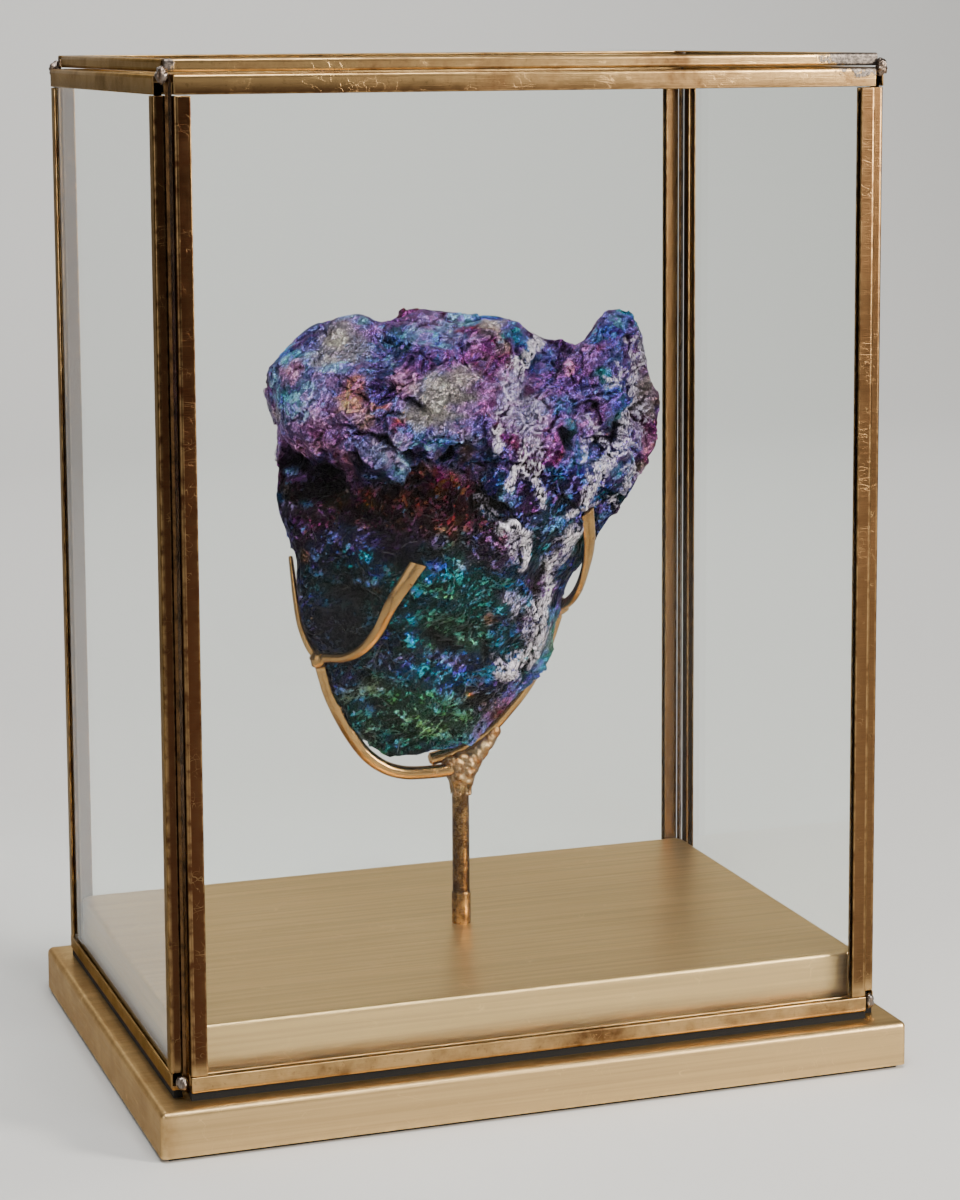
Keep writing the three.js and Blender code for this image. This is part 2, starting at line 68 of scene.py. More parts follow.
def smooth(low, high, value):
    """0 below low, 1 above high, and a soft step between them."""
    share = np.clip((np.asarray(value, float) - low) / (high - low), 0, 1)
    return share * share * (3 - 2 * share)


def mix(a, b, share):
    """The value a share of the way from a to b."""
    return a + (b - a) * share


def cell_value(cell, key):
    """A number from 0 to 1 that is always the same for a cell of space."""
    wave = np.sin(cell @ np.array((127.1, 311.7, 74.7)) + key * 53.3) * 43758.5453
    return wave - np.floor(wave)


def lumps(points, size, key=0):
    """Smooth noise from -1 to 1 whose lumps are about that size."""
    scaled = points / size + 0.37 * key
    base = np.floor(scaled)
    share = scaled - base
    share = share * share * (3 - 2 * share)
    total = np.zeros(len(points))
    for corner in itertools.product((0, 1), repeat=3):
        weight = np.prod(np.where(corner, share, 1 - share), axis=1)
        total += weight * cell_value(base + corner, key)
    return 2 * total - 1


def rough(points, size, key=0, octaves=3):
    """Several sizes of lumps on top of each other, each half as big as the one before."""
    layers = [lumps(points, size / 2**i, key + 7 * i) / 2**i for i in range(octaves)]
    return sum(layers) / sum(1 / 2**i for i in range(octaves))


def ridges(points, size, key=0):
    """Sharp crests between rounded hollows, from 0 to 1."""
    return 1 - np.abs(lumps(points, size, key)) * 1.4


def wandering(points, size, reach, key=0):
    """The points, each pushed up to reach away by noise."""
    return points + reach * np.stack([lumps(points, size, key + i) for i in (0, 3, 7)], 1)


def plates(points, size, key=0):
    """Heights of overlapping plates: each has its own level and tilt, and ends in a step."""
    scaled = points / size + 0.61 * key
    base = np.floor(scaled)
    nearest = np.full(len(points), np.inf)
    height = np.zeros(len(points))
    for offset in itertools.product((-1, 0, 1), repeat=3):
        cell = base + offset
        a, b, c, level = (cell_value(cell, key + i) for i in (1, 2, 3, 4))
        away = cell + np.stack((a, b, c), 1) - scaled
        far = (away**2).sum(1)
        tilt = (b - 0.5) * away[:, 0] + (c - 0.5) * away[:, 1] + (a - 0.5) * away[:, 2]
        closer = far < nearest
        height = np.where(closer, 0.22 * (level - 0.5) + 0.62 * tilt, height)
        nearest = np.minimum(nearest, far)
    return height * size


def broken_faces(points, size, key=0):
    """Heights of a surface that is broken into tilted faces, which meet in creases."""
    scaled = points / size + 0.61 * key
    base = np.floor(scaled)
    height = np.full(len(points), -np.inf)
    for offset in itertools.product((-1, 0, 1), repeat=3):
        cell = base + offset
        a, b, c, lift = (cell_value(cell, key + i) for i in (1, 2, 3, 4))
        away = cell + np.stack((a, b, c), 1) - scaled
        tilt = (b - 0.5) * away[:, 0] + (c - 0.5) * away[:, 1] + (a - 0.5) * away[:, 2]
        face = lift - 0.5 + 1.6 * tilt - 0.9 * (away**2).sum(1)
        height = np.maximum(height, face)
    return height


def rotation(x=0, y=0, z=0):
    """A turning matrix from angles in degrees, turned about X first."""
    turn = Matrix.Rotation(math.radians(z), 3, "Z") @ Matrix.Rotation(math.radians(y), 3, "Y")
    return np.array(turn @ Matrix.Rotation(math.radians(x), 3, "X"))


# Meshes


def make_piece(name, mesh, material, slot, *replaced):
    """A new piece of the object, which stands for the CAD nodes that it replaces."""
    piece = bpy.data.objects.new(name, mesh)
    bpy.context.scene.collection.objects.link(piece)
    mesh.materials.clear()
    mesh.materials.append(material)
    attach(piece, BODY)
    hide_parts(*replaced)


def finish_node(name, material):
    """Gives a CAD node that keeps its shape its material."""
    for place in NODES[name].material_slots:
        place.material = material


def mesh_from(name, verts, faces, smooth_angle=40):
    """A mesh with soft shading over edges flatter than the angle, in degrees."""
    mesh = bpy.data.meshes.new(name)
    mesh.from_pydata([tuple(v) for v in verts], [], [tuple(f) for f in faces])
    mesh.validate()
    shade(mesh, smooth_angle)
    return mesh


def shade(mesh, smooth_angle):
    mesh.shade_smooth()
    mesh.set_sharp_from_angle(angle=math.radians(smooth_angle))


def get_vectors(mesh, attribute="co"):
    """The places or the normals of the mesh's points."""
    found = np.empty(len(mesh.vertices) * 3, np.float32)
    mesh.vertices.foreach_get(attribute, found)
    return found.reshape(-1, 3).astype(float)


def set_places(mesh, places):
    mesh.vertices.foreach_set("co", np.ascontiguousarray(places, np.float32).ravel())
    mesh.update()


def remeshed(shape, voxel):
    """An even, closed mesh over another mesh's shape."""
    holder = bpy.data.objects.new("remesh_holder", shape)
    bpy.context.scene.collection.objects.link(holder)
    modifier = holder.modifiers.new("remesh", "REMESH")
    modifier.mode = "VOXEL"
    modifier.voxel_size = voxel
    ready = holder.evaluated_get(bpy.context.evaluated_depsgraph_get())
    mesh = bpy.data.meshes.new_from_object(ready)
    bpy.data.objects.remove(holder)
    return mesh


def relaxed(mesh, rounds, keep=1.02):
    """The places of the mesh's points after smoothing that doesn't shrink it."""
    places = get_vectors(mesh)
    pairs = np.empty(len(mesh.edges) * 2, np.int32)
    mesh.edges.foreach_get("vertices", pairs)
    first, second = pairs.reshape(-1, 2).T
    count = len(places)
    degree = np.bincount(pairs, minlength=count)[:, None]
    for step in range(rounds * 2):
        around = np.stack(
            [
                np.bincount(first, places[second, axis], count)
                + np.bincount(second, places[first, axis], count)
                for axis in range(3)
            ],
            1,
        )
        pull = 0.5 if step % 2 == 0 else -0.5 * keep
        places = places + pull * (around / degree - places)
    return places


def roughened(mesh, name, places, height):
    """The mesh with its points at those places, each pushed out by its height in millimetres."""
    set_places(mesh, places)
    set_places(mesh, places + get_vectors(mesh, "normal") * height[:, None] * MM)
    shade(mesh, 60)
    mesh.name = name
    return mesh


def box_middle(name):
    """The middle of a CAD node's box."""
    return sum(np.array(v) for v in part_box(name)) / 2


def softened(name, node_name, edge, segments=3):
    """A CAD node's shape with its sharp edges rounded, and a loop of edges inside each broad face."""
    least_angle = 0.3
    least_width = 2 * MM
    margin = 0.4 * MM
    form = bmesh.new()
    form.from_mesh(NODES[node_name].data)
    bmesh.ops.remove_doubles(form, verts=form.verts, dist=1e-6)
    bmesh.ops.dissolve_limit(
        form, angle_limit=math.radians(1), verts=form.verts, edges=form.edges
    )
    sharp = [
        e for e in form.edges
        if e.is_manifold and e.is_convex and e.calc_face_angle() > least_angle
    ]
    bmesh.ops.bevel(
        form, geom=sharp, offset=edge, segments=segments, profile=0.5, affect="EDGES"
    )
    broad = [
        f for f in form.faces
        if f.calc_area() > least_width * max(e.calc_length() for e in f.edges)
    ]
    bmesh.ops.inset_individual(form, faces=broad, thickness=margin)
    bmesh.ops.triangulate(form, faces=form.faces)
    mesh = bpy.data.meshes.new(name)
    form.to_mesh(mesh)
    form.free()
    shade(mesh, 30)
    return mesh


def rounded_rectangle(width, depth, radius, margin, segments=6):
    """Points round a rectangle about the origin, anticlockwise, with a margin beside each corner."""
    points = []
    for quarter, (sx, sy) in enumerate(((1, 1), (-1, 1), (-1, -1), (1, -1))):
        middle = Vector((sx * (width / 2 - radius), sy * (depth / 2 - radius)))
        for i in range(segments + 1):
            angle = math.pi / 2 * (quarter + i / segments)
            points.append(middle + radius * Vector((math.cos(angle), math.sin(angle))))
            if i in (0, segments):
                along = Vector((-math.sin(angle), math.cos(angle))) * margin
                points.insert(len(points) - (i == 0), points[-1] + (along if i else -along))
    return points


def stacked(name, rings, smooth_angle=40):
    """A closed mesh through rings that have the same number of points."""
    count = len(rings[0])
    verts = [v for ring in rings for v in ring]
    faces = [range(count - 1, -1, -1), range(count * (len(rings) - 1), count * len(rings))]
    for level in range(len(rings) - 1):
        for i in range(count):
            j = (i + 1) % count
            a, b = level * count, (level + 1) * count
            faces.append((a + i, a + j, b + j, b + i))
    return mesh_from(name, verts, faces, smooth_angle)


# Node trees


def feed(tree, socket, value):
    """Links another node's output to a socket, or sets the socket to a value."""
    if isinstance(value, bpy.types.NodeSocket):
        tree.links.new(value, socket)
    else:
        socket.default_value = value


def node(tree, kind, inputs=None, **settings):
    """Adds a node; an input may be a value, or another node's output."""
    made = tree.nodes.new("ShaderNode" + kind)
    for name, value in settings.items():
        setattr(made, name, value)
    for name, value in (inputs or {}).items():
        feed(tree, made.inputs[name], value)
    return made


def maths(tree, operation, a, b=0.0, clamp=False):
    """Arithmetic with two numbers."""
    made = node(tree, "Math", {0: a, 1: b}, operation=operation, use_clamp=clamp)
    return made.outputs["Value"]


def times(tree, a, b):
    return maths(tree, "MULTIPLY", a, b)


def plus(tree, a, b):
    return maths(tree, "ADD", a, b)


def minus(tree, a, b):
    return maths(tree, "SUBTRACT", a, b)


def either_way(tree, share, width):
    """A share from 0 to 1, spread over that width to both sides of 0."""
    return times(tree, minus(tree, share, 0.5), width)


def vector_maths(tree, operation, a, b=(0, 0, 0), output="Vector"):
    """Arithmetic with two vectors."""
    return node(tree, "VectorMath", {0: a, 1: b}, operation=operation).outputs[output]


def parts_of(tree, vector):
    """A vector's X, Y and Z."""
    return node(tree, "SeparateXYZ", {"Vector": vector}).outputs


def soft_step(tree, value, low, high, to_low=0.0, to_high=1.0):
    """to_low below low, to_high above high, and a soft step between them."""
    made = node(
        tree,
        "MapRange",
        {"Value": value, "From Min": low, "From Max": high, "To Min": to_low, "To Max": to_high},
        interpolation_type="SMOOTHSTEP",
    )
    return made.outputs["Result"]


def blended(tree, a, b, share, how="MIX"):
    """Two colours mixed by a share."""
    made = node(tree, "Mix", {0: share, 6: a, 7: b}, data_type="RGBA", blend_type=how)
    return made.outputs[2]


def between(tree, a, b, share):
    """Two numbers mixed by a share."""
    return node(tree, "Mix", {0: share, 2: a, 3: b}, data_type="FLOAT").outputs[0]


def noise(tree, place, scale, detail=2.0, roughness=0.5):
    """Clouds from 0 to 1; the scale is how many there are in a millimetre."""
    made = node(
        tree,
        "TexNoise",
        {"Vector": place, "Scale": scale, "Detail": detail, "Roughness": roughness},
    )
    return made.outputs["Fac"]


def bumped(tree, height, strength, distance, **inputs):
    """A normal that is tilted by a height, of which 1 stands for that distance."""
    inputs = {"Strength": strength, "Distance": distance, "Height": height, **inputs}
    return node(tree, "Bump", inputs).outputs["Normal"]


def stretched(tree, place, scale, turn=(0, 0, 0)):
    """Coordinates that are turned, in degrees, and then scaled."""
    turned = node(tree, "Mapping", {"Vector": place, "Rotation": [math.radians(a) for a in turn]})
    made = node(tree, "Mapping", {"Vector": turned.outputs["Vector"], "Scale": scale})
    return made.outputs["Vector"]


def linear(colour):
    """A colour as it shows on a screen, as light."""
    return [c / 12.92 if c <= 0.04045 else ((c + 0.055) / 1.055) ** 2.4 for c in colour[:3]]


def shown(colour):
    """The same with an alpha of 1, as a colour socket takes it."""
    return (*linear(colour), 1.0)


def new_material(name):
    """A material with a bare Principled shader."""
    material = bpy.data.materials.new(name)
    material.use_nodes = True
    tree = material.node_tree
    tree.nodes.clear()
    shader = node(tree, "BsdfPrincipled")
    node(tree, "OutputMaterial", {"Surface": shader.outputs["BSDF"]}, is_active_output=True)
    return material, tree, shader


def use(tree, shader, **inputs):
    """Feeds the shader's sockets; a name's underscores stand for spaces."""
    for name, value in inputs.items():
        feed(tree, shader.inputs[name.replace("_", " ")], value)


def surface_place(tree):
    """Object coordinates in millimetres."""
    place = node(tree, "TexCoord").outputs["Object"]
    return node(tree, "Mapping", {"Vector": place, "Scale": (1000, 1000, 1000)}).outputs["Vector"]


def new_group(name, inputs, outputs):
    """Starts a node group with a Place, numbers for its other inputs, and numbers as its outputs."""
    tree = bpy.data.node_groups.new(name, "ShaderNodeTree")
    tree.interface.new_socket("Place", in_out="INPUT", socket_type="NodeSocketVector")
    for label, default in inputs.items():
        socket = tree.interface.new_socket(label, in_out="INPUT", socket_type="NodeSocketFloat")
        socket.default_value = default
    for label in outputs:
        tree.interface.new_socket(label, in_out="OUTPUT", socket_type="NodeSocketFloat")
    start = tree.nodes.new("NodeGroupInput").outputs
    return tree, start


def close_group(tree, **results):
    """Feeds a group's outputs."""
    end = tree.nodes.new("NodeGroupOutput")
    for label, value in results.items():
        tree.links.new(value, end.inputs[label])


def placed(tree, group, **inputs):
    """Places a group in a material, and gives its outputs."""
    return node(tree, "Group", inputs, node_tree=bpy.data.node_groups[group]).outputs


# Shared effects


def build_scratches():
    """Thin, broken scratches in three directions. Place is in millimetres."""
    tree, start = new_group("Scratches", {"Spacing": 6.0, "Amount": 0.5}, ["Mask"])
    size = maths(tree, "DIVIDE", 1.0, start["Spacing"])
    total = None
    for turn in ((0, 0, 12), (20, 40, -35), (-30, 15, 78)):
        lines = stretched(tree, start["Place"], (0.06, 1.0, 1.0), turn)
        band = maths(tree, "ABSOLUTE", minus(tree, noise(tree, lines, size, 1), 0.5))
        thin = soft_step(tree, band, 0.0, 0.004, 1.0, 0.0)
        broken = soft_step(tree, noise(tree, start["Place"], 0.09, 2), 0.52, 0.6)
        line = times(tree, thin, broken)
        total = line if total is None else maths(tree, "MAXIMUM", total, line)
    close_group(tree, Mask=times(tree, total, start["Amount"]))


def build_brushing():
    """Fine straight lines along X, or along Y on faces that look along X."""
    tree, start = new_group("Brushing", {"Width": 0.5}, ["Lines", "Streaks"])
    facing = node(tree, "TexCoord").outputs["Normal"]
    sideways = maths(tree, "ABSOLUTE", parts_of(tree, facing)["X"])
    end = maths(tree, "GREATER_THAN", sideways, 0.7)
    parts = parts_of(tree, start["Place"])
    along = between(tree, parts["X"], parts["Y"], end)
    across = between(tree, parts["Y"], parts["X"], end)
    run = times(tree, along, 0.012)
    lines = node(tree, "CombineXYZ", {"X": run, "Y": across, "Z": parts["Z"]}).outputs["Vector"]
    size = maths(tree, "DIVIDE", 1.0, start["Width"])
    fine = noise(tree, lines, size, 3, 0.7)
    wide = noise(tree, lines, times(tree, size, 0.12), 3, 0.6)
    close_group(tree, Lines=fine, Streaks=wide)


def build_tarnish():
    """Blotches of tarnish of a size in millimetres. More Cover makes them spread and meet."""
    tree, start = new_group("Tarnish", {"Size": 18.0, "Cover": 0.5}, ["Mask"])
    size = maths(tree, "DIVIDE", 1.0, start["Size"])
    clouds = noise(tree, start["Place"], size, 5, 0.62)
    spots = noise(tree, start["Place"], times(tree, size, 5.0), 3, 0.6)
    both = plus(tree, times(tree, clouds, 0.7), times(tree, spots, 0.3))
    low = minus(tree, 0.78, times(tree, start["Cover"], 0.55))
    softness = 0.2
    share = maths(tree, "DIVIDE", minus(tree, both, low), softness, clamp=True)
    close_group(tree, Mask=share)


def build_edge_wear():
    """How far an edge is rubbed bright, broken up by noise."""
    tree, start = new_group("Edge Wear", {"Amount": 1.0}, ["Mask"])
    edge = soft_step(tree, node(tree, "NewGeometry").outputs["Pointiness"], 0.505, 0.56)
    broken = soft_step(tree, noise(tree, start["Place"], 0.25, 3, 0.6), 0.3, 0.65)
    rubbed = times(tree, edge, times(tree, broken, start["Amount"]))
    close_group(tree, Mask=rubbed)


def build_effects():
    """Builds the shared effects once."""
    if "Scratches" not in bpy.data.node_groups:
        build_scratches()
        build_brushing()
        build_tarnish()
        build_edge_wear()


# Finishes of the case and the stand


def brushed_brass(colour):
    """The tiers' brass, brushed along their sides, and darker at the left end as painted shade."""
    material, tree, shader = new_material("brushed_brass")
    place = surface_place(tree)
    brushing = placed(tree, "Brushing", Place=place, Width=0.25)
    scratches = placed(tree, "Scratches", Place=place, Spacing=9.0, Amount=0.6)["Mask"]
    wear = placed(tree, "Edge Wear", Place=place, Amount=0.8)["Mask"]
    tarnish = placed(tree, "Tarnish", Place=place, Size=60.0, Cover=0.35)["Mask"]
    base = Vector(linear(colour))
    dark = (*(base * 0.88), 1)
    pale = (*(base * 1.1), 1)
    tone = blended(tree, dark, pale, soft_step(tree, brushing["Streaks"], 0.3, 0.7))
    tone = blended(tree, tone, (*(base * 0.6), 1), times(tree, tarnish, 0.05))
    low, _ = cover_box()
    # Painted shade: the brass darkens towards the left end of the tiers.
    waver = times(tree, noise(tree, place, 0.08, 4, 0.7), 16.0)
    outer = plus(tree, parts_of(tree, place)["X"], waver)
    darkened = soft_step(tree, outer, low.x / MM - 4, low.x / MM + 11, 0.95, 0.0)
    tone = blended(tree, tone, (*(base * Vector((0.5, 0.4, 0.3))), 1), darkened)
    tone = blended(tree, tone, (*(base * 1.35), 1), maths(tree, "MAXIMUM", wear, scratches))
    gloss = soft_step(tree, brushing["Lines"], 0.3, 0.7, 0.3, 0.44)
    height = minus(tree, brushing["Lines"], times(tree, scratches, 0.6))
    normal = bumped(tree, height, 0.22, 0.15 * MM)
    use(tree, shader, Base_Color=tone, Metallic=1.0, Roughness=gloss, Normal=normal)
    use(tree, shader, Specular_Tint=shown([0.6 + 0.4 * c for c in colour]))
    return material


def aged_brass(colour, bright, solder):
    """The strips' brass: browned, rubbed bright in places, with smears of solder at the corners."""
    material, tree, shader = new_material("aged_brass_strip")
    place = surface_place(tree)
    tarnish = placed(tree, "Tarnish", Place=place, Size=34.0, Cover=0.6)["Mask"]
    scratches = placed(tree, "Scratches", Place=place, Spacing=5.0, Amount=0.8)["Mask"]
    wear = placed(tree, "Edge Wear", Place=place, Amount=0.7)["Mask"]
    lines = placed(tree, "Brushing", Place=place, Width=0.35)["Lines"]

    # The uprights are browner than the rails. Towards the left they are darker and redder, as painted
    # shade.
    low, high = cover_box()
    parts = parts_of(tree, place)
    under = minus(tree, high.z / MM, parts["Z"])
    above = minus(tree, parts["Z"], low.z / MM)
    upright = soft_step(tree, maths(tree, "MINIMUM", under, above), 6, 14)
    left = soft_step(tree, parts["X"], -90, 90, 1.0, 0.15)
    darkened = times(tree, upright, left)
    tone = blended(tree, shown(bright), shown(colour), maths(tree, "MAXIMUM", tarnish, upright))
    reddish = [c * share for c, share in zip(colour, (0.72, 0.58, 0.56))]
    tone = blended(tree, tone, shown(reddish), darkened)
    # Painted shade: the strips on the left side of the cover are darker still.
    side = soft_step(tree, parts["X"], low.x / MM + 5.6, low.x / MM + 5.9, 0.55, 0.0)
    tone = blended(tree, tone, shown([c * 0.75 for c in reddish]), side)
    spots = soft_step(tree, noise(tree, place, 0.5, 4, 0.7), 0.56, 0.7, 0, 0.35)
    tone = blended(tree, tone, shown([c * 0.5 for c in colour]), spots)
    depth = soft_step(tree, upright, 0, 1, 0.12, 0.38)
    fine = times(tree, soft_step(tree, lines, 0.3, 0.7), depth)
    tone = blended(tree, tone, shown([c * 0.7 for c in colour]), fine)
    rubbed = times(tree, maths(tree, "MAXIMUM", wear, scratches), 0.6)
    tone = blended(tree, tone, shown(bright), rubbed)
    smear = solder_smear(tree, place)
    crust = soft_step(tree, noise(tree, place, 0.8, 5, 0.7), 0.4, 0.6)
    tin = blended(tree, shown([c * 0.6 for c in solder]), shown(solder), crust)
    tone = blended(tree, tone, tin, smear)
    gloss = plus(tree, times(tree, tarnish, 0.12), 0.28)
    gloss = plus(tree, gloss, times(tree, smear, 0.16))
    height = minus(tree, lines, times(tree, scratches, 0.6))
    height = plus(tree, height, times(tree, smear, 1.2))
    normal = bumped(tree, height, 0.3, 0.2 * MM)
    use(tree, shader, Base_Color=tone, Metallic=1.0, Roughness=gloss, Normal=normal)
    use(tree, shader, Specular_Tint=shown([0.5 + 0.5 * c for c in bright]))
    return material


def solder_smear(tree, place):
    """Where solder has run over the strips: near the cover's corners, most at the right front."""
    low, high = cover_box()
    parts = parts_of(tree, place)
    right = maths(tree, "GREATER_THAN", parts["X"], 0.0)
    front = maths(tree, "LESS_THAN", parts["Y"], 0.0)
    reach = soft_step(tree, times(tree, right, front), 0, 1, 1.0, 0.25)
    folded = vector_maths(tree, "ABSOLUTE", place)
    away = vector_maths(tree, "SUBTRACT", folded, [side / MM for side in high])
    squeeze = node(tree, "CombineXYZ", {"X": reach, "Y": 1.0, "Z": 0.9}).outputs["Vector"]
    squeezed = vector_maths(tree, "MULTIPLY", away, squeeze)
    far = vector_maths(tree, "LENGTH", squeezed, output="Value")
    ragged = plus(tree, far, times(tree, noise(tree, place, 0.3, 5, 0.7), 10.0))
    return soft_step(tree, ragged, 12.0, 12.8, 1.0, 0.0)


def rod_brass(name, colour, patina, cover, size=9.0):
    """Hammered rod with a little patina."""
    material, tree, shader = new_material(name)
    place = surface_place(tree)
    tarnish = placed(tree, "Tarnish", Place=place, Size=size, Cover=cover)["Mask"]
    scratches = placed(tree, "Scratches", Place=place, Spacing=3.0, Amount=0.6)["Mask"]
    wear = placed(tree, "Edge Wear", Place=place, Amount=0.8)["Mask"]
    tone = blended(tree, shown(colour), shown(patina), tarnish)
    rubbed = maths(tree, "MAXIMUM", wear, scratches)
    tone = blended(tree, tone, shown([min(c * 1.25, 1) for c in colour]), rubbed)
    gloss = plus(tree, times(tree, tarnish, 0.2), 0.17)
    normal = bumped(tree, noise(tree, place, 0.7, 4, 0.6), 0.3, 0.3 * MM)
    use(tree, shader, Base_Color=tone, Metallic=1.0, Roughness=gloss, Normal=normal)
    return material


def solder_metal(name, colour, stain, cover):
    """Dull, lumpy solder with brown stains."""
    material, tree, shader = new_material(name)
    place = surface_place(tree)
    tarnish = placed(tree, "Tarnish", Place=place, Size=5.0, Cover=cover)["Mask"]
    tone = blended(tree, shown(colour), shown(stain), tarnish)
    gloss = plus(tree, times(tree, tarnish, 0.2), 0.28)
    normal = bumped(tree, noise(tree, place, 1.1, 4, 0.6), 0.5, 0.4 * MM)
    use(tree, shader, Base_Color=tone, Metallic=1.0, Roughness=gloss, Normal=normal)
    return material


def clear_glass(colour):
    """Clear panes that reflect little, so that the pale studio doesn't veil what is behind them."""
    material, tree, shader = new_material("clear_glass")
    use(tree, shader, Base_Color=shown(colour), Roughness=0.0, IOR=1.18, Transmission_Weight=1.0)
    clear = node(tree, "BsdfTransparent", {"Color": (0.96, 0.97, 0.97, 1)})
    shadow = node(tree, "LightPath").outputs["Is Shadow Ray"]
    both = node(tree, "MixShader", {0: shadow, 1: shader.outputs["BSDF"], 2: clear.outputs["BSDF"]})
    output = next(n for n in tree.nodes if n.type == "OUTPUT_MATERIAL")
    tree.links.new(both.outputs["Shader"], output.inputs["Surface"])
    return material


def black_felt(colour):
    """Felt with fibres that run one way; its near-black colour doubles as painted shadow under the
    cover.
    """
    material, tree, shader = new_material("black_felt")
    place = surface_place(tree)
    fibres = noise(tree, stretched(tree, place, (1.0, 3.0, 1.5), (10, 30, 25)), 1.6, 4, 0.7)
    tone = blended(tree, shown([c * 0.6 for c in colour]), shown([c * 1.6 for c in colour]), fibres)
    normal = bumped(tree, fibres, 0.6, 0.5 * MM)
    use(tree, shader, Base_Color=tone, Roughness=0.95, Sheen_Weight=0.02, Normal=normal)
    return material


# Base and cover


def is_channel(name):
    """Whether a CAD node is one of the cover's brass strips."""
    return "_strip_" in name and not name.startswith("felt")


def cover_box():
    """The box of the whole cover."""
    boxes = [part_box(name) for name in NODES if is_channel(name)]
    low = Vector([min(b[0][i] for b in boxes) for i in range(3)])
    high = Vector([max(b[1][i] for b in boxes) for i in range(3)])
    return low, high


def tier(name, node_name, corner, edge):
    """A block with rounded upright corners and a rounded top edge."""
    low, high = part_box(node_name)
    width, depth = high.x - low.x, high.y - low.y
    margin = 1.2 * MM
    heights = (low.z, low.z + margin, high.z - edge - margin, high.z - edge)
    levels = [(z, 0.0) for z in heights]
    steps = 6
    for i in range(1, steps + 1):
        angle = math.pi / 2 * i / steps
        levels.append((high.z - edge + edge * math.sin(angle), edge * (1 - math.cos(angle))))
    levels.append((high.z, edge + margin))
    rings = []
    for z, inset in levels:
        radius = max(corner - inset, 0.2 * MM)
        ring = rounded_rectangle(width - 2 * inset, depth - 2 * inset, radius, margin)
        rings.append([(p.x, p.y, z) for p in ring])
    return stacked(name, rings, 35)


# The corners' lumps of solder are this much larger than the solids, and the lower ones this much
# taller.
LUMP_GROWTH = 1.1
LOWER_LUMP_HEIGHT = 1.6


def solder_lump(name, node_name, seed):
    """A CAD lump of solder, made finer and rougher, and run out into the corner's groove."""
    mesh = remeshed(NODES[node_name].data, voxel=0.35 * MM)
    places = relaxed(mesh, rounds=8)
    middle = box_middle(node_name)
    top = "top" in node_name
    growth = (LUMP_GROWTH, LUMP_GROWTH, LUMP_GROWTH if top else LOWER_LUMP_HEIGHT)
    places = middle + np.array(growth) * (places - middle)
    places[:, :2] -= 0.5 * MM * np.sign(middle[:2])
    places[:, 2] += (-0.3 if top else 0.5) * MM
    height = 0.9 * rough(places / MM, 1.8, seed) + 0.35 * broken_faces(places / MM, 1.1, seed)
    return roughened(mesh, name, places, height)


# Stand. Its paths and sizes are in millimetres.

LEFT_FORK = (-54.5, 0.5, 150.5)
RIGHT_FORK = (42, 1, 164)
ARMS = {
    "left_arm": [
        (-2.5, 0, 103.2), (-11.2, 0, 103), (-21.3, 0, 103.6), (-29.3, 0, 106.3),
        (-37.3, 0, 112.6), (-45.3, 0, 124.6), (-51, 0, 137), (-54, 0.3, 147.5),
    ],
    "right_arm": [
        (-10, 3, 107.2), (-3, 2.5, 109), (7, 2, 113.6), (14.5, 1.5, 118.6),
        (22, 1, 126.2), (29.5, 1, 135.4), (36, 1, 147.5), (41, 1, 161),
    ],
}
PRONGS = {
    "left_back_prong": [
        LEFT_FORK, (-57.2, 3, 154.3), (-59.8, 6, 161.7), (-61, 8.5, 170.8),
        (-61.4, 11.5, 179.4), (-61.4, 15, 187.2),
    ],
    "left_front_prong": [
        LEFT_FORK, (-52, -4.5, 151.7), (-48.3, -11, 152.6), (-43.3, -17, 156.4),
        (-39, -23, 164), (-36, -32, 176.2), (-27.3, -37.2, 191.3),
    ],
    "right_front_prong": [
        RIGHT_FORK, (43.6, -6, 167), (45, -12, 172.5), (46.2, -17.4, 182.3),
        (45.8, -22.4, 192), (42.4, -28.8, 205.4),
    ],
    "right_back_prong": [
        RIGHT_FORK, (42.6, 7, 167), (42.6, 13.5, 172.8), (41.6, 18.5, 181.8),
        (39.2, 23, 191.5), (37, 27, 200),
    ],
}
TWISTS = {"right_front_prong": 48}
WELD_WEB = [(1, 0, 99), (5, 0.3, 105.5), (10, 0.6, 111), (16, 1, 117.5)]
ROCK_MIDDLE = np.array((1.0, 0.0, 200.0))
FORK_RADIUS = 3.9
FORK_GROWTH = 1.15
SLEEVE_HEIGHT = 12.5
ROD_STEPS = 90
ROD_SIDES = 24
ROD_END_SHARES = (0.55, 0.85)
POST_STEPS = 60
POST_SIDES = 48


def arm_size(share):
    """Half sizes of an arm, which is round all along."""
    return 2.6, 2.6


def prong_size(share):
    """A prong starts as a round rod and is hammered wide and thin at its tip."""
    return 2.1 + 0.9 * share**2, 2.1 - 1.15 * share


def even_path(points, steps):
    """Evenly spaced points on a smooth curve through the given ones."""
    given = np.array(points, float)
    ends = (2 * given[0] - given[1], 2 * given[-1] - given[-2])
    given = np.vstack((ends[0], given, ends[1]))
    fine = []
    for p0, p1, p2, p3 in zip(given, given[1:], given[2:], given[3:]):
        pairs = ((p0, p1), (p1, p2), (p2, p3))
        d0, d1, d2 = (max(np.linalg.norm(b - a) ** 0.5, 1e-6) for a, b in pairs)
        start = ((p1 - p0) / d0 - (p2 - p0) / (d0 + d1) + (p2 - p1) / d1) * d1
        end = ((p2 - p1) / d1 - (p3 - p1) / (d1 + d2) + (p3 - p2) / d2) * d1
        for t in np.linspace(0, 1, 40, endpoint=False):
            fine.append(
                (2 * t**3 - 3 * t**2 + 1) * p1 + (t**3 - 2 * t**2 + t) * start
                + (3 * t**2 - 2 * t**3) * p2 + (t**3 - t**2) * end
            )
    fine = np.array(fine + [given[-2]])
    run = np.concatenate(([0], np.cumsum(np.linalg.norm(np.diff(fine, axis=0), axis=1))))
    wanted = np.linspace(0, run[-1], steps + 1)
    return np.stack([np.interp(wanted, run, fine[:, axis]) for axis in range(3)], 1)


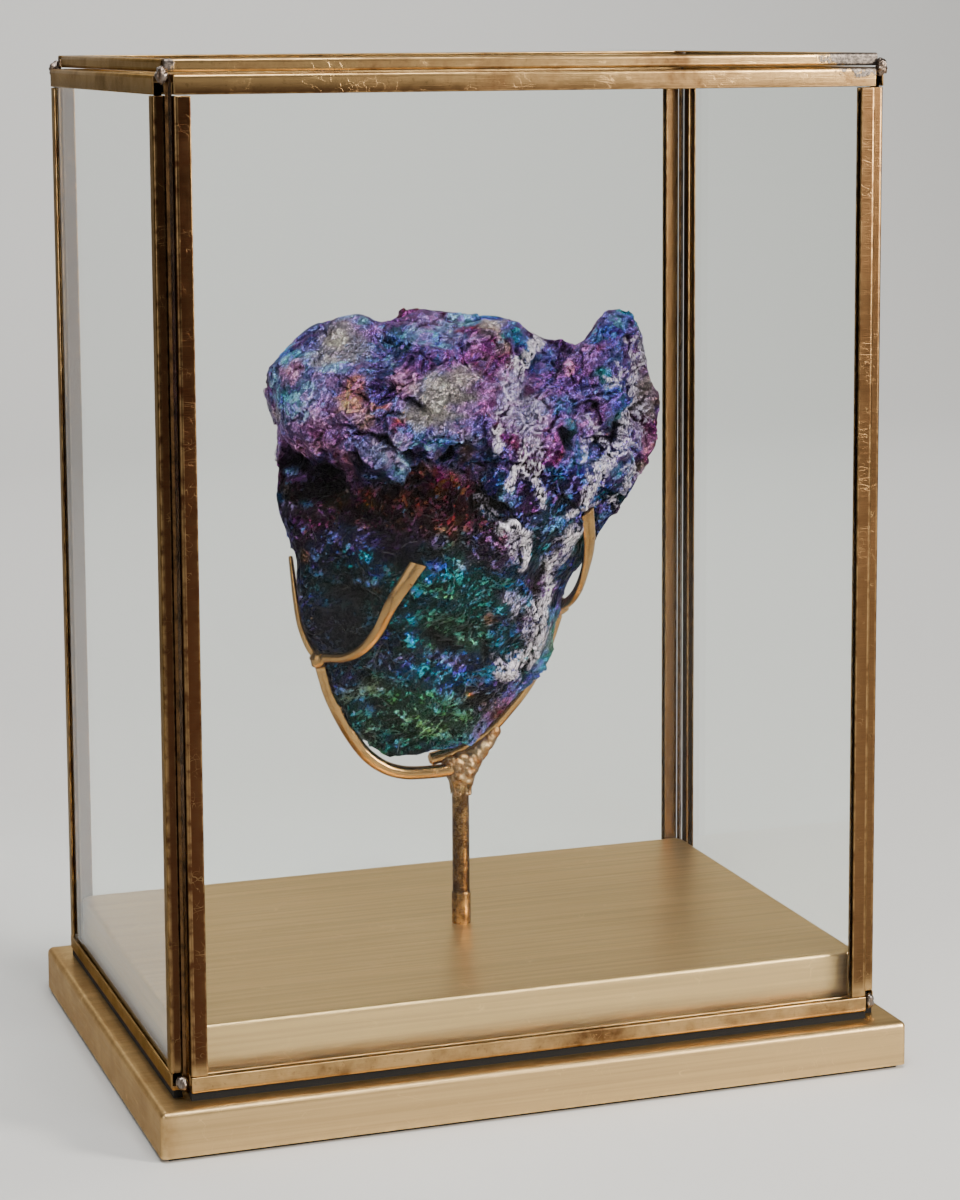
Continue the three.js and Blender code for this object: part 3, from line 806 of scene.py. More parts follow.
def rod_frames(points, size, twist=0.0, steps=ROD_STEPS):
    """For each step of a rod: its centre, its directions across, inward and along, and half sizes."""
    centres = even_path(points, steps)
    along = np.gradient(centres, axis=0)
    along /= np.linalg.norm(along, axis=1, keepdims=True)
    inward = ROCK_MIDDLE - centres
    inward -= along * (inward * along).sum(1, keepdims=True)
    inward /= np.linalg.norm(inward, axis=1, keepdims=True)
    across = np.cross(inward, along)
    shares = np.linspace(0, 1, steps + 1)
    turn = math.radians(twist) * smooth(0.2, 0.8, shares)[:, None]
    across, inward = (
        across * np.cos(turn) - inward * np.sin(turn),
        inward * np.cos(turn) + across * np.sin(turn),
    )
    return centres, across, inward, along, np.array([size(share) for share in shares])


def rod_mesh(name, points, size, tip=0.0, twist=0.0):
    """A hammered rod with rounded ends; tip slants the flattened end."""
    centres, across, inward, along, sizes = rod_frames(points, size, twist)
    rings = []
    last = len(centres) - 1
    angles = np.linspace(0, 2 * math.pi, ROD_SIDES, endpoint=False)
    steps = [(0, share) for share in ROD_END_SHARES] + [(i, 1.0) for i in range(last + 1)]
    steps += [(last, share) for share in reversed(ROD_END_SHARES)]
    for order, (i, share) in enumerate(steps):
        wide, thick = sizes[i] * share
        outward = 0.0
        if share < 1:
            outward = (1 - share) ** 1.5 * min(sizes[i])
            outward *= -1 if order < len(ROD_END_SHARES) else 1
        ring = (
            centres[i]
            + np.outer(np.cos(angles) * wide, across[i])
            + np.outer(np.sin(angles) * thick, inward[i])
            + outward * along[i]
        )
        lean = tip * smooth(0.9, 1, i / last)
        ring += np.outer(np.cos(angles) * wide * lean, along[i])
        rings.append(ring)
    ring_points = np.array(rings).reshape(-1, 3)
    out = ring_points - np.repeat([centres[i] for i, _ in steps], ROD_SIDES, axis=0)
    out /= np.maximum(np.linalg.norm(out, axis=1, keepdims=True), 1e-6)
    dents = 0.07 * broken_faces(ring_points, 3.4, len(name)) + 0.05 * lumps(ring_points, 6, 3)
    ring_points += out * dents[:, None]
    rings = ring_points.reshape(len(steps), ROD_SIDES, 3) * MM
    return stacked(name, [list(r) for r in rings], 50)


def fork_mesh(name, node_name, seed):
    """The ball of solder and brass where an arm splits into its prongs."""
    mesh = remeshed(NODES[node_name].data, voxel=0.3 * MM)
    places = relaxed(mesh, rounds=20)
    middle = box_middle(node_name)
    places = middle + FORK_GROWTH * (places - middle)
    return roughened(mesh, name, places, 0.35 * rough(places / MM, 3.0, seed))


def web_size(share):
    """Half sizes of the weld's web, which narrows as it climbs."""
    return 4.7 - 2.7 * share, 4.7 - 2.7 * share


def weld_mesh(name):
    """The rough weld: the frame's lumps and the web between them, with drips and pits."""
    web = rod_mesh("weld_web", WELD_WEB, web_size)
    form = bmesh.new()
    form.from_mesh(NODES["weld"].data)
    form.from_mesh(web)
    joined = bpy.data.meshes.new("weld_joined")
    form.to_mesh(joined)
    form.free()
    mesh = remeshed(joined, voxel=0.32 * MM)
    bpy.data.meshes.remove(web)
    bpy.data.meshes.remove(joined)
    places = relaxed(mesh, rounds=45)
    drips = 0.9 * rough(places / MM, 3.2, 5, 4)
    pits = 0.4 * (broken_faces(places / MM, 1.8, 9) + 0.3)
    return roughened(mesh, name, places, 0.3 + drips + pits)


def post_mesh(name):
    """The round post in its foot sleeve, lightly hammered."""
    low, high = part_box("post")
    middle = (low + high) / 2
    foot_radius = (high.x - low.x) / 2
    radius = foot_radius - 0.35 * MM
    sleeve = low.z + SLEEVE_HEIGHT * MM
    levels = [
        (low.z, foot_radius),
        (sleeve - 0.9 * MM, foot_radius),
        (sleeve - 0.3 * MM, foot_radius - 0.1 * MM),
        (sleeve, radius + 0.05 * MM),
    ]
    for i in range(POST_STEPS + 1):
        levels.append((mix(sleeve + 0.4 * MM, high.z, i / POST_STEPS), radius))
    rings = []
    for z, size in levels:
        for k in range(POST_SIDES):
            angle = 2 * math.pi * k / POST_SIDES
            rings.append((middle.x + size * math.cos(angle), middle.y + size * math.sin(angle), z))
    points = np.array(rings)
    out = points - np.array((middle.x, middle.y, 0))
    out[:, 2] = 0
    out /= np.linalg.norm(out, axis=1, keepdims=True)
    dents = (0.06 * broken_faces(points / MM, 3.0, 2) - 0.05) * MM
    points += out * dents[:, None]
    return stacked(name, [list(r) for r in points.reshape(len(levels), POST_SIDES, 3)], 45)


# Ore. Places on it are [across, up] from its middle in millimetres, seen from its broad face.

ORE_TURN = rotation(x=-9.8, z=-18.8)

# The near-black ink is painted shade for hollows, recesses and overhangs.
INK = {
    "violet": (0.39, 0.32, 0.58), "deep_violet": (0.23, 0.17, 0.42), "lilac": (0.68, 0.61, 0.80),
    "mauve": (0.57, 0.40, 0.64), "pink": (0.80, 0.52, 0.70), "magenta": (0.50, 0.22, 0.50),
    "indigo": (0.17, 0.18, 0.44), "blue": (0.22, 0.34, 0.60), "pale_blue": (0.52, 0.65, 0.88),
    "teal": (0.14, 0.47, 0.54), "cyan": (0.27, 0.68, 0.88), "green": (0.25, 0.50, 0.38),
    "pale_green": (0.50, 0.72, 0.56), "gold": (0.76, 0.56, 0.22), "orange": (0.82, 0.46, 0.24),
    "cream": (0.82, 0.75, 0.68), "grey": (0.57, 0.54, 0.51), "olive": (0.40, 0.40, 0.32),
    "maroon": (0.31, 0.10, 0.12), "red": (0.64, 0.17, 0.22), "brown": (0.30, 0.19, 0.16),
    "painted_shadow": (0.07, 0.06, 0.11), "dark_teal": (0.06, 0.20, 0.24), "slate": (0.39, 0.48, 0.68),
}

# Colours of the broad face, painted in this order: colour, middle, reach each way, strength.
# Near-black patches are painted shade.
PATCHES = [
    ("violet", (-30, 50), (46, 32), 0.8),
    ("maroon", (-8, 6), (42, 20), 0.95),
    ("violet", (40, 50), (20, 30), 0.25),
    ("deep_violet", (54, 50), (22, 34), 0.4),
    ("dark_teal", (-36, -32), (30, 26), 0.9),
    ("teal", (-6, -30), (32, 16), 0.85),
    ("indigo", (30, -6), (16, 22), 0.7),
    ("green", (-14, -74), (30, 16), 0.9),
    ("blue", (0, -56), (32, 10), 0.75),
    # Upper left bulge
    ("slate", (-58, 50), (16, 18), 0.8),
    ("mauve", (-52, 34), (22, 12), 0.9),
    ("pink", (-63, 57), (6, 6), 0.8),
    ("cyan", (-64, 62), (6, 4), 0.7),
    ("pale_blue", (-70, 50), (4, 9), 0.5),
    ("slate", (-63, 43), (9, 9), 0.7),
    ("cyan", (-65, 46), (6, 3), 0.4),
    ("pale_blue", (-58, 42), (8, 8), 0.5),
    ("grey", (-43, 65), (11, 9), 0.65),
    ("cream", (-45, 67), (5, 3), 0.5),
    ("cream", (-50, 59), (6, 4), 0.35),
    ("pale_blue", (-38, 75), (9, 3), 0.6),
    ("pale_blue", (-46, 57), (8, 2), 0.9),
    ("mauve", (-47, 52), (9, 4), 0.8),
    ("mauve", (-50, 44), (9, 6), 0.7),
    ("mauve", (-54, 33), (16, 6), 0.8),
    ("pink", (-50, 37), (6, 4), 0.4),
    ("red", (-53, 32), (4, 3), 0.4),
    ("pink", (-55, 27), (16, 2.5), 0.6),
    ("pink", (-42, 21), (4, 6), 0.6),
    ("cream", (-70, 41), (3, 4), 0.5),
    # Orange patch and the violet beside it
    ("orange", (-38, 47), (6, 9), 0.55),
    ("gold", (-42, 43), (4, 5), 0.4),
    ("gold", (-34, 38), (5, 4), 0.4),
    ("brown", (-34, 47), (3.5, 3), 0.8),
    ("deep_violet", (-28, 50), (6, 9), 0.8),
    ("orange", (-29, 42), (4, 1.6), 0.8),
    # Upper middle bulge
    ("violet", (-22, 56), (9, 8), 0.7),
    ("pale_blue", (-25, 58), (3, 4), 0.7),
    ("pink", (-19, 50), (6, 6), 0.7),
    ("teal", (-22, 67), (9, 4), 0.5),
    ("pale_blue", (-8, 70), (12, 7), 0.55),
    ("mauve", (-14, 75), (8, 4), 0.8),
    ("cyan", (-7, 68), (3, 3), 0.5),
    ("deep_violet", (-12, 61), (13, 3), 0.7),
    ("magenta", (-14, 56), (7, 4), 0.5),
    ("slate", (-8, 54), (3, 3), 0.6),
    ("pale_blue", (4, 76), (7, 2.5), 0.7),
    ("red", (4, 72), (5, 2), 0.6),
    ("cream", (13, 74), (5, 3), 0.6),
    ("magenta", (8, 60), (7, 4), 0.3),
    ("teal", (19, 69), (4, 3), 0.7),
    ("blue", (24, 65), (4, 4), 0.7),
    # Grey band
    ("grey", (-7, 45), (13, 13), 0.9),
    ("cream", (3, 53), (7, 5), 0.4),
    ("grey", (-15, 38), (9, 6), 0.8),
    ("mauve", (12, 48), (5, 6), 0.6),
    ("olive", (5, 45), (7, 3), 0.5),
    ("mauve", (5, 41), (10, 2), 0.7),
    ("violet", (8, 36), (8, 4), 0.7),
    ("blue", (-6, 28), (13, 3), 0.9),
    ("red", (-21, 34), (3.5, 3.5), 0.7),
    ("pale_blue", (-10, 27), (7, 1.6), 0.6),
    # Striated flakes
    ("lilac", (-28, 25), (10, 8), 0.75),
    ("violet", (-31, 18), (8, 5), 0.7),
    ("pale_blue", (-24, 17), (4, 3), 0.7),
    ("pale_blue", (-20, 24), (2, 4), 0.7),
    # Hollow under the upper left bulge, with painted shade in it
    ("painted_shadow", (-56, 15), (15, 12), 0.7),
    ("painted_shadow", (-34, 0), (12, 4), 0.5),
    ("pale_blue", (-64, 20), (5, 2.5), 0.8),
    ("cyan", (-68, 9), (3, 3), 0.8),
    ("lilac", (-64, 5), (5, 3), 0.8),
    ("teal", (-58, 7), (3, 2), 0.7),
    ("mauve", (-58, 18), (7, 1.5), 0.6),
    ("gold", (-45, 7), (6, 4), 0.6),
    ("cream", (-43, 11), (3, 2), 0.5),
    ("brown", (-56, 3), (7, 4), 0.7),
    ("indigo", (-62, -2), (5, 5), 0.7),
    ("gold", (-58, -13), (2.5, 3.5), 0.7),
    ("mauve", (-61, -8), (4, 3), 0.6),
    # Deep red middle, with painted shade in its recesses
    ("red", (-9, 17), (10, 6), 0.3),
    ("gold", (-13, 19), (4, 2.5), 0.35),
    ("gold", (3, 24), (3, 4), 0.35),
    ("red", (-27, 6), (5, 4), 0.25),
    ("orange", (-33, 9), (4, 4), 0.3),
    ("orange", (-36, -1), (5, 2.5), 0.25),
    ("red", (-3, -2), (6, 5), 0.2),
    ("red", (6, -12), (6, 4), 0.2),
    ("maroon", (-12, 6), (10, 5), 0.7),
    ("painted_shadow", (-22, 12), (14, 4), 0.5),
    ("magenta", (-30, -1), (6, 3), 0.4),
    ("violet", (-8, -8), (3, 4), 0.6),
    ("mauve", (-17, -2), (2, 3), 0.6),
    ("deep_violet", (-26, -8), (13, 5), 0.6),
    ("painted_shadow", (-16, -14), (12, 5), 0.6),
    ("blue", (14, 12), (5, 6), 0.8),
    ("pale_blue", (18, 8), (3, 5), 0.7),
    ("violet", (21, 4), (8, 8), 0.6),
    ("magenta", (26, 3), (4, 5), 0.5),
    ("cyan", (12, 2), (4, 2), 0.9),
    ("mauve", (15, -12), (7, 8), 0.7),
    ("pink", (17, -7), (3, 3), 0.7),
    # Blue streaks, and painted shade on the face behind the left front prong
    ("violet", (-47, -6), (11, 4), 0.6),
    ("blue", (-36, -13), (6, 4), 0.6),
    ("cyan", (-34, -13), (2.5, 2.5), 0.7),
    ("cyan", (-40, -17), (4, 1.5), 0.7),
    ("blue", (-33, -19), (5, 3), 0.7),
    ("pale_blue", (-33, -23), (7, 1.6), 0.9),
    ("gold", (-30, -25), (4, 2), 0.7),
    ("green", (-33, -29), (5, 3), 0.5),
    ("green", (-42, -32), (4, 3), 0.4),
    ("indigo", (-47, -38), (11, 10), 0.6),
    ("painted_shadow", (-43, -40), (15, 22), 0.75),
    # Lower half, with painted shade in a pit and along the foot
    ("cyan", (-12, -21), (5, 3), 0.5),
    ("green", (-8, -24), (9, 3), 0.6),
    ("pale_green", (-3, -28), (5, 1.4), 0.8),
    ("green", (-4, -38), (12, 6), 0.8),
    ("pale_green", (-7, -38), (5, 2), 0.5),
    ("green", (6, -44), (10, 6), 0.85),
    ("pale_green", (2, -46), (5, 3), 0.6),
    ("orange", (12, -38), (3, 3), 0.5),
    ("cyan", (-20, -37), (5, 3), 0.7),
    ("cyan", (-17, -45), (4, 5), 0.75),
    ("blue", (-27, -45), (6, 6), 0.6),
    ("painted_shadow", (-8, -45), (8, 4), 0.8),
    ("teal", (17, -43), (6, 6), 0.7),
    ("lilac", (19, -29), (6, 4), 0.6),
    ("cyan", (16, -33), (3, 3), 0.7),
    ("cyan", (25, -31), (2, 3), 0.7),
    ("violet", (-28, -53), (8, 4), 0.6),
    ("cyan", (-19, -57), (7, 2.5), 0.7),
    ("cyan", (-9, -56), (6, 3), 0.6),
    ("violet", (-7, -53), (4, 3), 0.6),
    ("blue", (4, -57), (6, 4), 0.7),
    ("blue", (14, -54), (4, 4), 0.7),
    ("mauve", (0, -53), (5, 3), 0.5),
    ("olive", (-36, -63), (11, 5), 0.6),
    ("brown", (6, -66), (10, 6), 0.7),
    ("maroon", (10, -69), (4, 5), 0.6),
    ("gold", (4, -65), (1.6, 1.6), 0.8),
    ("violet", (20, -62), (6, 5), 0.7),
    ("indigo", (-33, -71), (5, 3), 0.6),
    ("pale_green", (-22, -73), (12, 4), 0.5),
    ("pale_green", (-8, -78), (10, 5), 0.7),
    ("dark_teal", (-7, -75), (4, 2), 0.7),
    ("teal", (-28, -83), (6, 4), 0.8),
    ("painted_shadow", (-12, -90), (24, 4), 0.8),
    # Ridge and right face
    ("lilac", (20, 45), (7, 13), 0.75),
    ("lilac", (27, 38), (8, 9), 0.6),
    ("maroon", (26, 47), (2, 3.5), 0.8),
    ("magenta", (18, 28), (4, 4), 0.4),
    ("indigo", (27, 56), (4, 5), 0.8),
    ("violet", (33, 52), (5, 7), 0.7),
    ("blue", (40, 42), (6, 8), 0.8),
    ("dark_teal", (41, 32), (4, 7), 0.8),
    ("magenta", (34, 22), (3, 3), 0.3),
    ("violet", (35, 12), (5, 8), 0.8),
    ("blue", (36, 17), (4, 4), 0.8),
    ("magenta", (43, 12), (5, 5), 0.35),
    ("slate", (33, -3), (9, 9), 0.8),
    ("teal", (29, -13), (5, 9), 0.6),
    ("maroon", (38, -9), (5, 4), 0.5),
    ("maroon", (47, 9), (4, 4), 0.6),
    ("mauve", (33, -25), (4, 6), 0.6),
    ("violet", (37, -35), (3, 7), 0.7),
    ("slate", (34, -49), (4, 5), 0.8),
    ("cream", (30, -56), (4, 3), 0.5),
    ("mauve", (47, 63), (8, 5), 0.9),
    ("pink", (42, 58), (2.5, 4), 0.85),
    ("red", (54, 65), (3, 2), 0.4),
    ("violet", (50, 59), (7, 4), 0.7),
    ("blue", (60, 70), (8, 8), 0.7),
    ("pale_blue", (60, 75), (5, 4), 0.4),
    ("mauve", (57, 79), (5, 3), 0.6),
    ("magenta", (66, 66), (4, 7), 0.45),
    ("teal", (54, 54), (3, 3), 0.9),
    ("violet", (49, 48), (8, 6), 0.7),
    ("mauve", (47, 36), (3, 5), 0.6),
    ("blue", (60, 46), (7, 6), 0.7),
    ("dark_teal", (59, 37), (5, 6), 0.8),
    ("blue", (49, 24), (3, 4), 0.8),
    ("violet", (53, 22), (3, 4), 0.7),
    ("grey", (70, 64), (3, 10), 0.7),
    ("grey", (73, 48), (6, 10), 0.6),
    ("pink", (73, 28), (3, 6), 0.5),
    ("violet", (57, 5), (5, 5), 0.8),
    ("teal", (61, 8), (3, 3), 0.8),
    ("violet", (60, 15), (4, 4), 0.6),
]

# Veins of white mineral: the path of each, its width and how solid it is.
VEINS = [
    ([(22, 58), (25, 61), (30, 67)], 5.8, 1),
    ([(20, 55), (19, 46), (21, 38), (23, 30)], 7.5, 0.42),
    ([(27, 42), (28, 33), (27, 26)], 7.5, 0.42),
    ([(16, 34), (14, 30), (15, 26)], 2.4, 1),
    ([(25, 28), (24, 22), (21, 18), (19, 12)], 3.4, 1),
    ([(27, 22), (30, 20), (30, 13), (31, 6)], 2.6, 1),
    ([(24, 24), (26, 17)], 5, 0.7),
    ([(17, -4), (20, -2), (25, -6), (25, -12), (24, -18)], 4, 1),
    ([(20, -6), (21, -14), (24, -16)], 3.4, 0.7),
    ([(67, 61), (67, 50), (66, 40), (63, 30), (58, 24), (52, 18), (48, 11)], 6, 0.75),
    ([(70, 66), (71, 58)], 2.5, 0.6),
    ([(72, 44), (69, 34), (66, 26)], 5, 0.42),
    ([(65, 20), (62, 13), (58, 8)], 4, 0.8),
    ([(64, 68), (65, 63)], 1.8, 1),
    ([(58, 58), (61, 56), (60, 51), (56, 53)], 2.2, 1),
    ([(56, 48), (59, 49)], 1.6, 1),
    ([(48, 39), (50, 35), (52, 31), (47, 28), (46, 22)], 2, 0.8),
    ([(51, 29), (58, 28), (63, 30)], 2.4, 0.8),
    ([(53, 20), (46, 5), (41, 0)], 2.6, 1),
    ([(52, 6), (46, 4)], 2.4, 0.8),
    ([(45, -4), (36, -12), (34, -17), (34, -23), (30, -31)], 3.6, 1),
    ([(43, -10), (38, -16)], 3, 0.7),
    ([(31, -30), (31, -38), (31, -46), (27, -52), (20, -57), (16, -58)], 5.8, 1),
    ([(28, -34), (25, -46)], 3, 0.6),
    ([(15, -53), (17, -58), (22, -60)], 3, 0.8),
    ([(18, -30), (21, -35)], 2.6, 0.6),
    ([(16, 42), (14, 38)], 2.4, 0.6),
    ([(6, 8), (9, 4), (14, 2)], 1.8, 0.8),
]

# Cracks, ledges' undersides and pits: the path of each, its width and its depth.
HOLLOWS = [
    ([(-68, 28), (-62, 24), (-54, 20), (-47, 20), (-44, 15)], 7, 5),
    ([(-57, 15), (-48, 13)], 8, 3),
    ([(-38, 33), (-32, 32), (-26, 30), (-24, 26)], 3, 3.4),
    ([(-38, 25), (-36, 20)], 4, 3),
    ([(-19, 24), (-10, 23), (-3, 26), (4, 28)], 3, 4),
    ([(-28, 39), (-22, 40)], 2.4, 2.4),
    ([(-19, 45), (-14, 42)], 3, 2.4),
    ([(-24, 52), (-22, 49)], 2.6, 2),
    ([(-28, 68), (-24, 66), (-16, 62), (-6, 60)], 2.2, 1.8),
    ([(-10, 57), (-3, 60), (5, 61), (15, 60)], 1.8, 1.5),
    ([(-36, 47), (-34, 45)], 2.4, 1.6),
    ([(-71, 29), (-66, 29)], 3, 2),
    ([(7, 9), (10, 6), (15, 5)], 5, 4),
    ([(12, 26), (8, 29)], 3, 2),
    ([(-30, -1), (-20, -14), (-8, -12)], 6, 2),
    ([(-13, -42), (-4, -47)], 6, 4),
    ([(-45, -24), (-34, -27)], 6, 3),
    ([(10, -48), (9, -54)], 5, 2.4),
    ([(-9, -76), (-3, -75)], 2.4, 1.8),
    ([(-33, -71), (-28, -70)], 3, 1.6),
    ([(39, 48), (45, 44), (53, 43)], 2.4, 2.2),
    ([(40, 29), (38, 34)], 3, 2.6),
    ([(51, 31), (57, 31), (60, 36)], 4, 3.4),
    ([(31, 44), (33, 41)], 2.4, 1.6),
    ([(45, 51), (51, 50)], 2, 1.6),
    ([(62, 52), (63, 44)], 2, 1.6),
    ([(47, 46), (50, 40)], 2, 1.2),
]


# Where the rock stands out from its solid, or in where the height is negative: middle, reach each
# way and height, in millimetres.
SWELLS = [
    ((-45, -70), (12, 24), 2.2),
    ((-54, -44), (8, 18), 1.0),
    ((-76, 44), (14, 26), -2.4),
    ((-44, 76), (26, 12), 3.4),
    ((-8, 82), (20, 8), 2.2),
    ((24, 72), (12, 10), 1.6),
]

# Smoother stretches of the broad face: middle, reach each way, and how much smoother.
CALM = [((-56, 46), (24, 22), 0.5), ((-40, 66), (16, 12), 0.5), ((-6, 44), (20, 17), 0.85)]


def from_path(places, path):
    """How far each [across, up] place is from a bent line, and how high over it."""
    nearest = np.full(len(places), np.inf)
    over = np.zeros(len(places))
    for start, end in zip(np.array(path[:-1], float), np.array(path[1:], float)):
        run = end - start
        share = np.clip((places - start) @ run / (run @ run), 0, 1)
        offset = places - start - share[:, None] * run
        far = np.linalg.norm(offset, axis=1)
        over = np.where(far < nearest, offset[:, 1], over)
        nearest = np.minimum(nearest, far)
    return nearest, over


def from_middle(places, middle, reach):
    """How far each place is from a middle, as a share of the reach each way."""
    return np.linalg.norm((places - np.array(middle)) / np.array(reach), axis=1)


def stroke(places, path, wide, soft):
    """1 in the middle of a stroke, 0 outside it."""
    far, _ = from_path(places, path)
    return 1 - smooth(wide / 2 - soft, wide / 2 + soft, far)


def undercut(places, path, wide):
    """1 at the foot of an overhanging lip, falling off fast above it and slowly below it."""
    far, over = from_path(places, path)
    reach = np.where(over > 0, 0.45, 1.15) * wide
    return np.clip(1 - far / reach, 0, 1)


def ore_places(points):
    """Points in metres as places in the ore's own frame: across, back and up in millimetres."""
    return (points / MM - ROCK_MIDDLE) @ ORE_TURN


def ore_relief(local, near):
    """How far the broken surface stands out at each point, in millimetres."""
    bent = wandering(local, 11, 2.6, 5)
    slanted = bent @ rotation(y=35, z=20)
    height = 0.8 * plates(slanted, 14, 2) + 0.85 * plates(bent, 7, 11)
    flakes = bent @ rotation(y=-38) * np.array((0.45, 1.0, 1.0))
    height += 1.4 * (ridges(flakes, 7.5, 5) - 0.5)
    height += 0.65 * (ridges(wandering(flakes, 5, 1.2, 8), 3.9, 7) - 0.5)
    height += 0.5 * (ridges(flakes, 2.2, 9) - 0.5)
    height *= 1 - 0.4 * dark_ore_and_shade_field(local, near)
    flat = wandering(local, 5, 1.6, 31)[:, (0, 2)]
    for middle, reach, share in CALM:
        far = from_middle(flat, middle, reach)
        height *= 1 - share * near * (1 - smooth(0.5, 1.1, far))
    for path, wide, deep in HOLLOWS:
        height -= near * deep * undercut(flat, path, wide)
    for path, wide, _ in VEINS:
        height += near * 0.5 * stroke(flat, path, wide, 0.8)
    return height


def far_relief(local, facing):
    """Broad breaks cut into the far side, kept well away from the outline."""
    share = smooth(0.45, 0.85, facing[:, 1]) * smooth(10, 30, local[:, 1])
    breaks = 1.3 * plates(local, 26, 21) + 1.6 * (ridges(local, 15, 23) - 0.5)
    return share * np.clip(breaks - 1.6, -4, 0)


def ore_colours(local, near):
    """Colour of each point: named patches on the broad face, wandering tarnish elsewhere."""
    ink = {name: np.array(linear(colour)) for name, colour in INK.items()}
    drift = 6 * np.stack((lumps(local, 14, 3), lumps(local, 14, 5)), 1)
    ragged = 2.4 * np.stack((rough(local, 3.6, 41), rough(local, 3.6, 43)), 1)
    order = [
        "indigo", "violet", "mauve", "magenta", "maroon", "violet",
        "blue", "teal", "green", "teal", "indigo",
    ]
    stops = np.array([ink[name] for name in order])
    wander = 0.5 + 0.62 * rough(local, 34, 13, 3) + 0.12 * rough(local, 6, 17)
    position = np.clip(wander, 0, 0.999) * (len(order) - 1)
    low = position.astype(int)
    colour = mix(stops[low], stops[low + 1], (position - low)[:, None])
    spots = smooth(0.2, 0.5, rough(local, 9, 51))[:, None]
    colour = mix(colour, ink["grey"], 0.5 * spots)
    flat = local[:, (0, 2)] + ragged
    soft = local[:, (0, 2)] + 0.4 * drift + ragged
    grit = 0.4 * rough(local, 2.4, 47)
    for name, middle, reach, strength in PATCHES:
        places = soft if min(reach) > 9 else flat
        far = from_middle(places, middle, reach) + grit
        share = near * strength * (1 - smooth(0.45, 1.15, far))
        colour = mix(colour, ink[name], share[:, None])
    return colour


def vein_field(local, near):
    """How much white mineral shows at each point, before the material frays its edges."""
    flat = wandering(wandering(local, 6, 1.5, 61), 2.6, 1.1, 67)[:, (0, 2)]
    field = np.zeros(len(local))
    for path, wide, share in VEINS:
        field = np.maximum(field, near * share * stroke(flat, path, wide, 1.2))
    # The far side has a few veins of its own, which follow wandering cracks.
    crack = 1 - np.abs(rough(local, 42, 71, 2)) * 9
    far_side = (1 - near) * smooth(0.1, 0.9, crack) * smooth(-0.1, 0.4, lumps(local, 30, 73))
    return np.maximum(field, far_side)


def hollow_field(local, near):
    """How deep each point lies in a crack or a pit, from 0 to 1."""
    flat = wandering(wandering(local, 5, 1.6, 31), 2.4, 0.8, 33)[:, (0, 2)]
    field = np.zeros(len(local))
    for path, wide, deep in HOLLOWS:
        field = np.maximum(field, near * min(deep / 3, 1) * undercut(flat, path, wide))
    return field


def dark_ore_and_shade_field(local, near):
    """How dark the rock stays between its glints, most below the ledge of the broad face: partly the
    ore's own darker colour, partly painted shade.
    """
    return near * (1 - smooth(8, 30, local[:, 2] + 6 * lumps(local, 12, 57)))


def swelling(local, near):
    """How far the rock's top and foot stand out, and its left edge in, in millimetres."""
    flat = local[:, (0, 2)]
    out = np.zeros(len(local))
    for middle, reach, height in SWELLS:
        out += height * (1 - smooth(0.3, 1.0, from_middle(flat, middle, reach)))
    return out * (0.4 + 0.6 * near)


def clear_of_rods(points):
    """Moves points, in millimetres, that lie in or over a rod to its inner side."""
    clearance = 0.15
    reach = 16
    past_end = 1.5
    steps = 60
    paths = [(path, arm_size, 0) for path in ARMS.values()]
    paths += [(path, prong_size, TWISTS.get(name, 0)) for name, path in PRONGS.items()]
    for path, size, twist in paths:
        centres, across, inward, along, sizes = rod_frames(path, size, twist, steps)
        low, high = centres.min(0) - reach, centres.max(0) + reach
        close = np.flatnonzero(((points > low) & (points < high)).all(1))
        if not len(close):
            continue
        away = points[close][:, None] - centres[None]
        nearest = np.linalg.norm(away, axis=2).argmin(1)
        offset = away[np.arange(len(close)), nearest]
        side = (offset * across[nearest]).sum(1)
        deep = (offset * inward[nearest]).sum(1)
        past = np.abs((offset * along[nearest]).sum(1))
        wide, thick = (sizes[nearest] + clearance).T
        share = np.clip(1 - (side / wide) ** 2, 0, None)
        wanted = thick * np.sqrt(share)
        inside = (share > 0) & (deep < wanted) & (deep > -reach) & (past < past_end)
        shift = np.where(inside, wanted - deep, 0)
        points[close] += shift[:, None] * inward[nearest]
    for fork in (LEFT_FORK, RIGHT_FORK):
        away = points - np.array(fork)
        far = np.linalg.norm(away, axis=1, keepdims=True)
        edge = np.array(fork) + away / np.maximum(far, 1e-6) * FORK_RADIUS
        points = np.where(far < FORK_RADIUS, edge, points)
    return points


def ore_mesh(voxel, smoothing):
    """The rock: the frame's solid, smoothed, broken up, carved and painted."""
    mesh = remeshed(NODES["peacock_ore"].data, voxel)
    places = relaxed(mesh, smoothing)
    set_places(mesh, places)
    normals = get_vectors(mesh, "normal")
    local = ore_places(places)
    facing = normals @ ORE_TURN
    # 1 on the broad face, 0 on the far side.
    near = smooth(-0.3, 0.25, -facing[:, 1]) * smooth(16, 2, local[:, 1])
    height = ore_relief(local, near) * mix(0.25, 1.0, smooth(0.1, 0.65, np.abs(facing[:, 1])))
    height += swelling(local, near) + far_relief(local, facing)
    points = places / MM + normals * height[:, None]
    low, high = (np.array(v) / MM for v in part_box("peacock_ore"))
    past_box = 1
    points = clear_of_rods(np.clip(points, low - past_box, high + past_box))
    set_places(mesh, points * MM)
    settled = relaxed(mesh, rounds=12) / MM
    cavity = ((points - settled) * get_vectors(mesh, "normal")).sum(1)
    attributes = {
        "vein": vein_field(local, near),
        "hollow": hollow_field(local, near),
        "relief": np.clip(0.5 + cavity, 0, 1),
        "dark_ore_and_shade": dark_ore_and_shade_field(local, near),
    }
    for name, values in attributes.items():
        layer = mesh.attributes.new(name, "FLOAT", "POINT")
        layer.data.foreach_set("value", values.astype(np.float32))
    colours = np.hstack((ore_colours(local, near), np.ones((len(local), 1))))
    layer = mesh.attributes.new("tint", "FLOAT_COLOR", "POINT")
    layer.data.foreach_set("color", colours.astype(np.float32).ravel())
    shade(mesh, 26)
    mesh.name = "peacock_ore_rock"
    return mesh


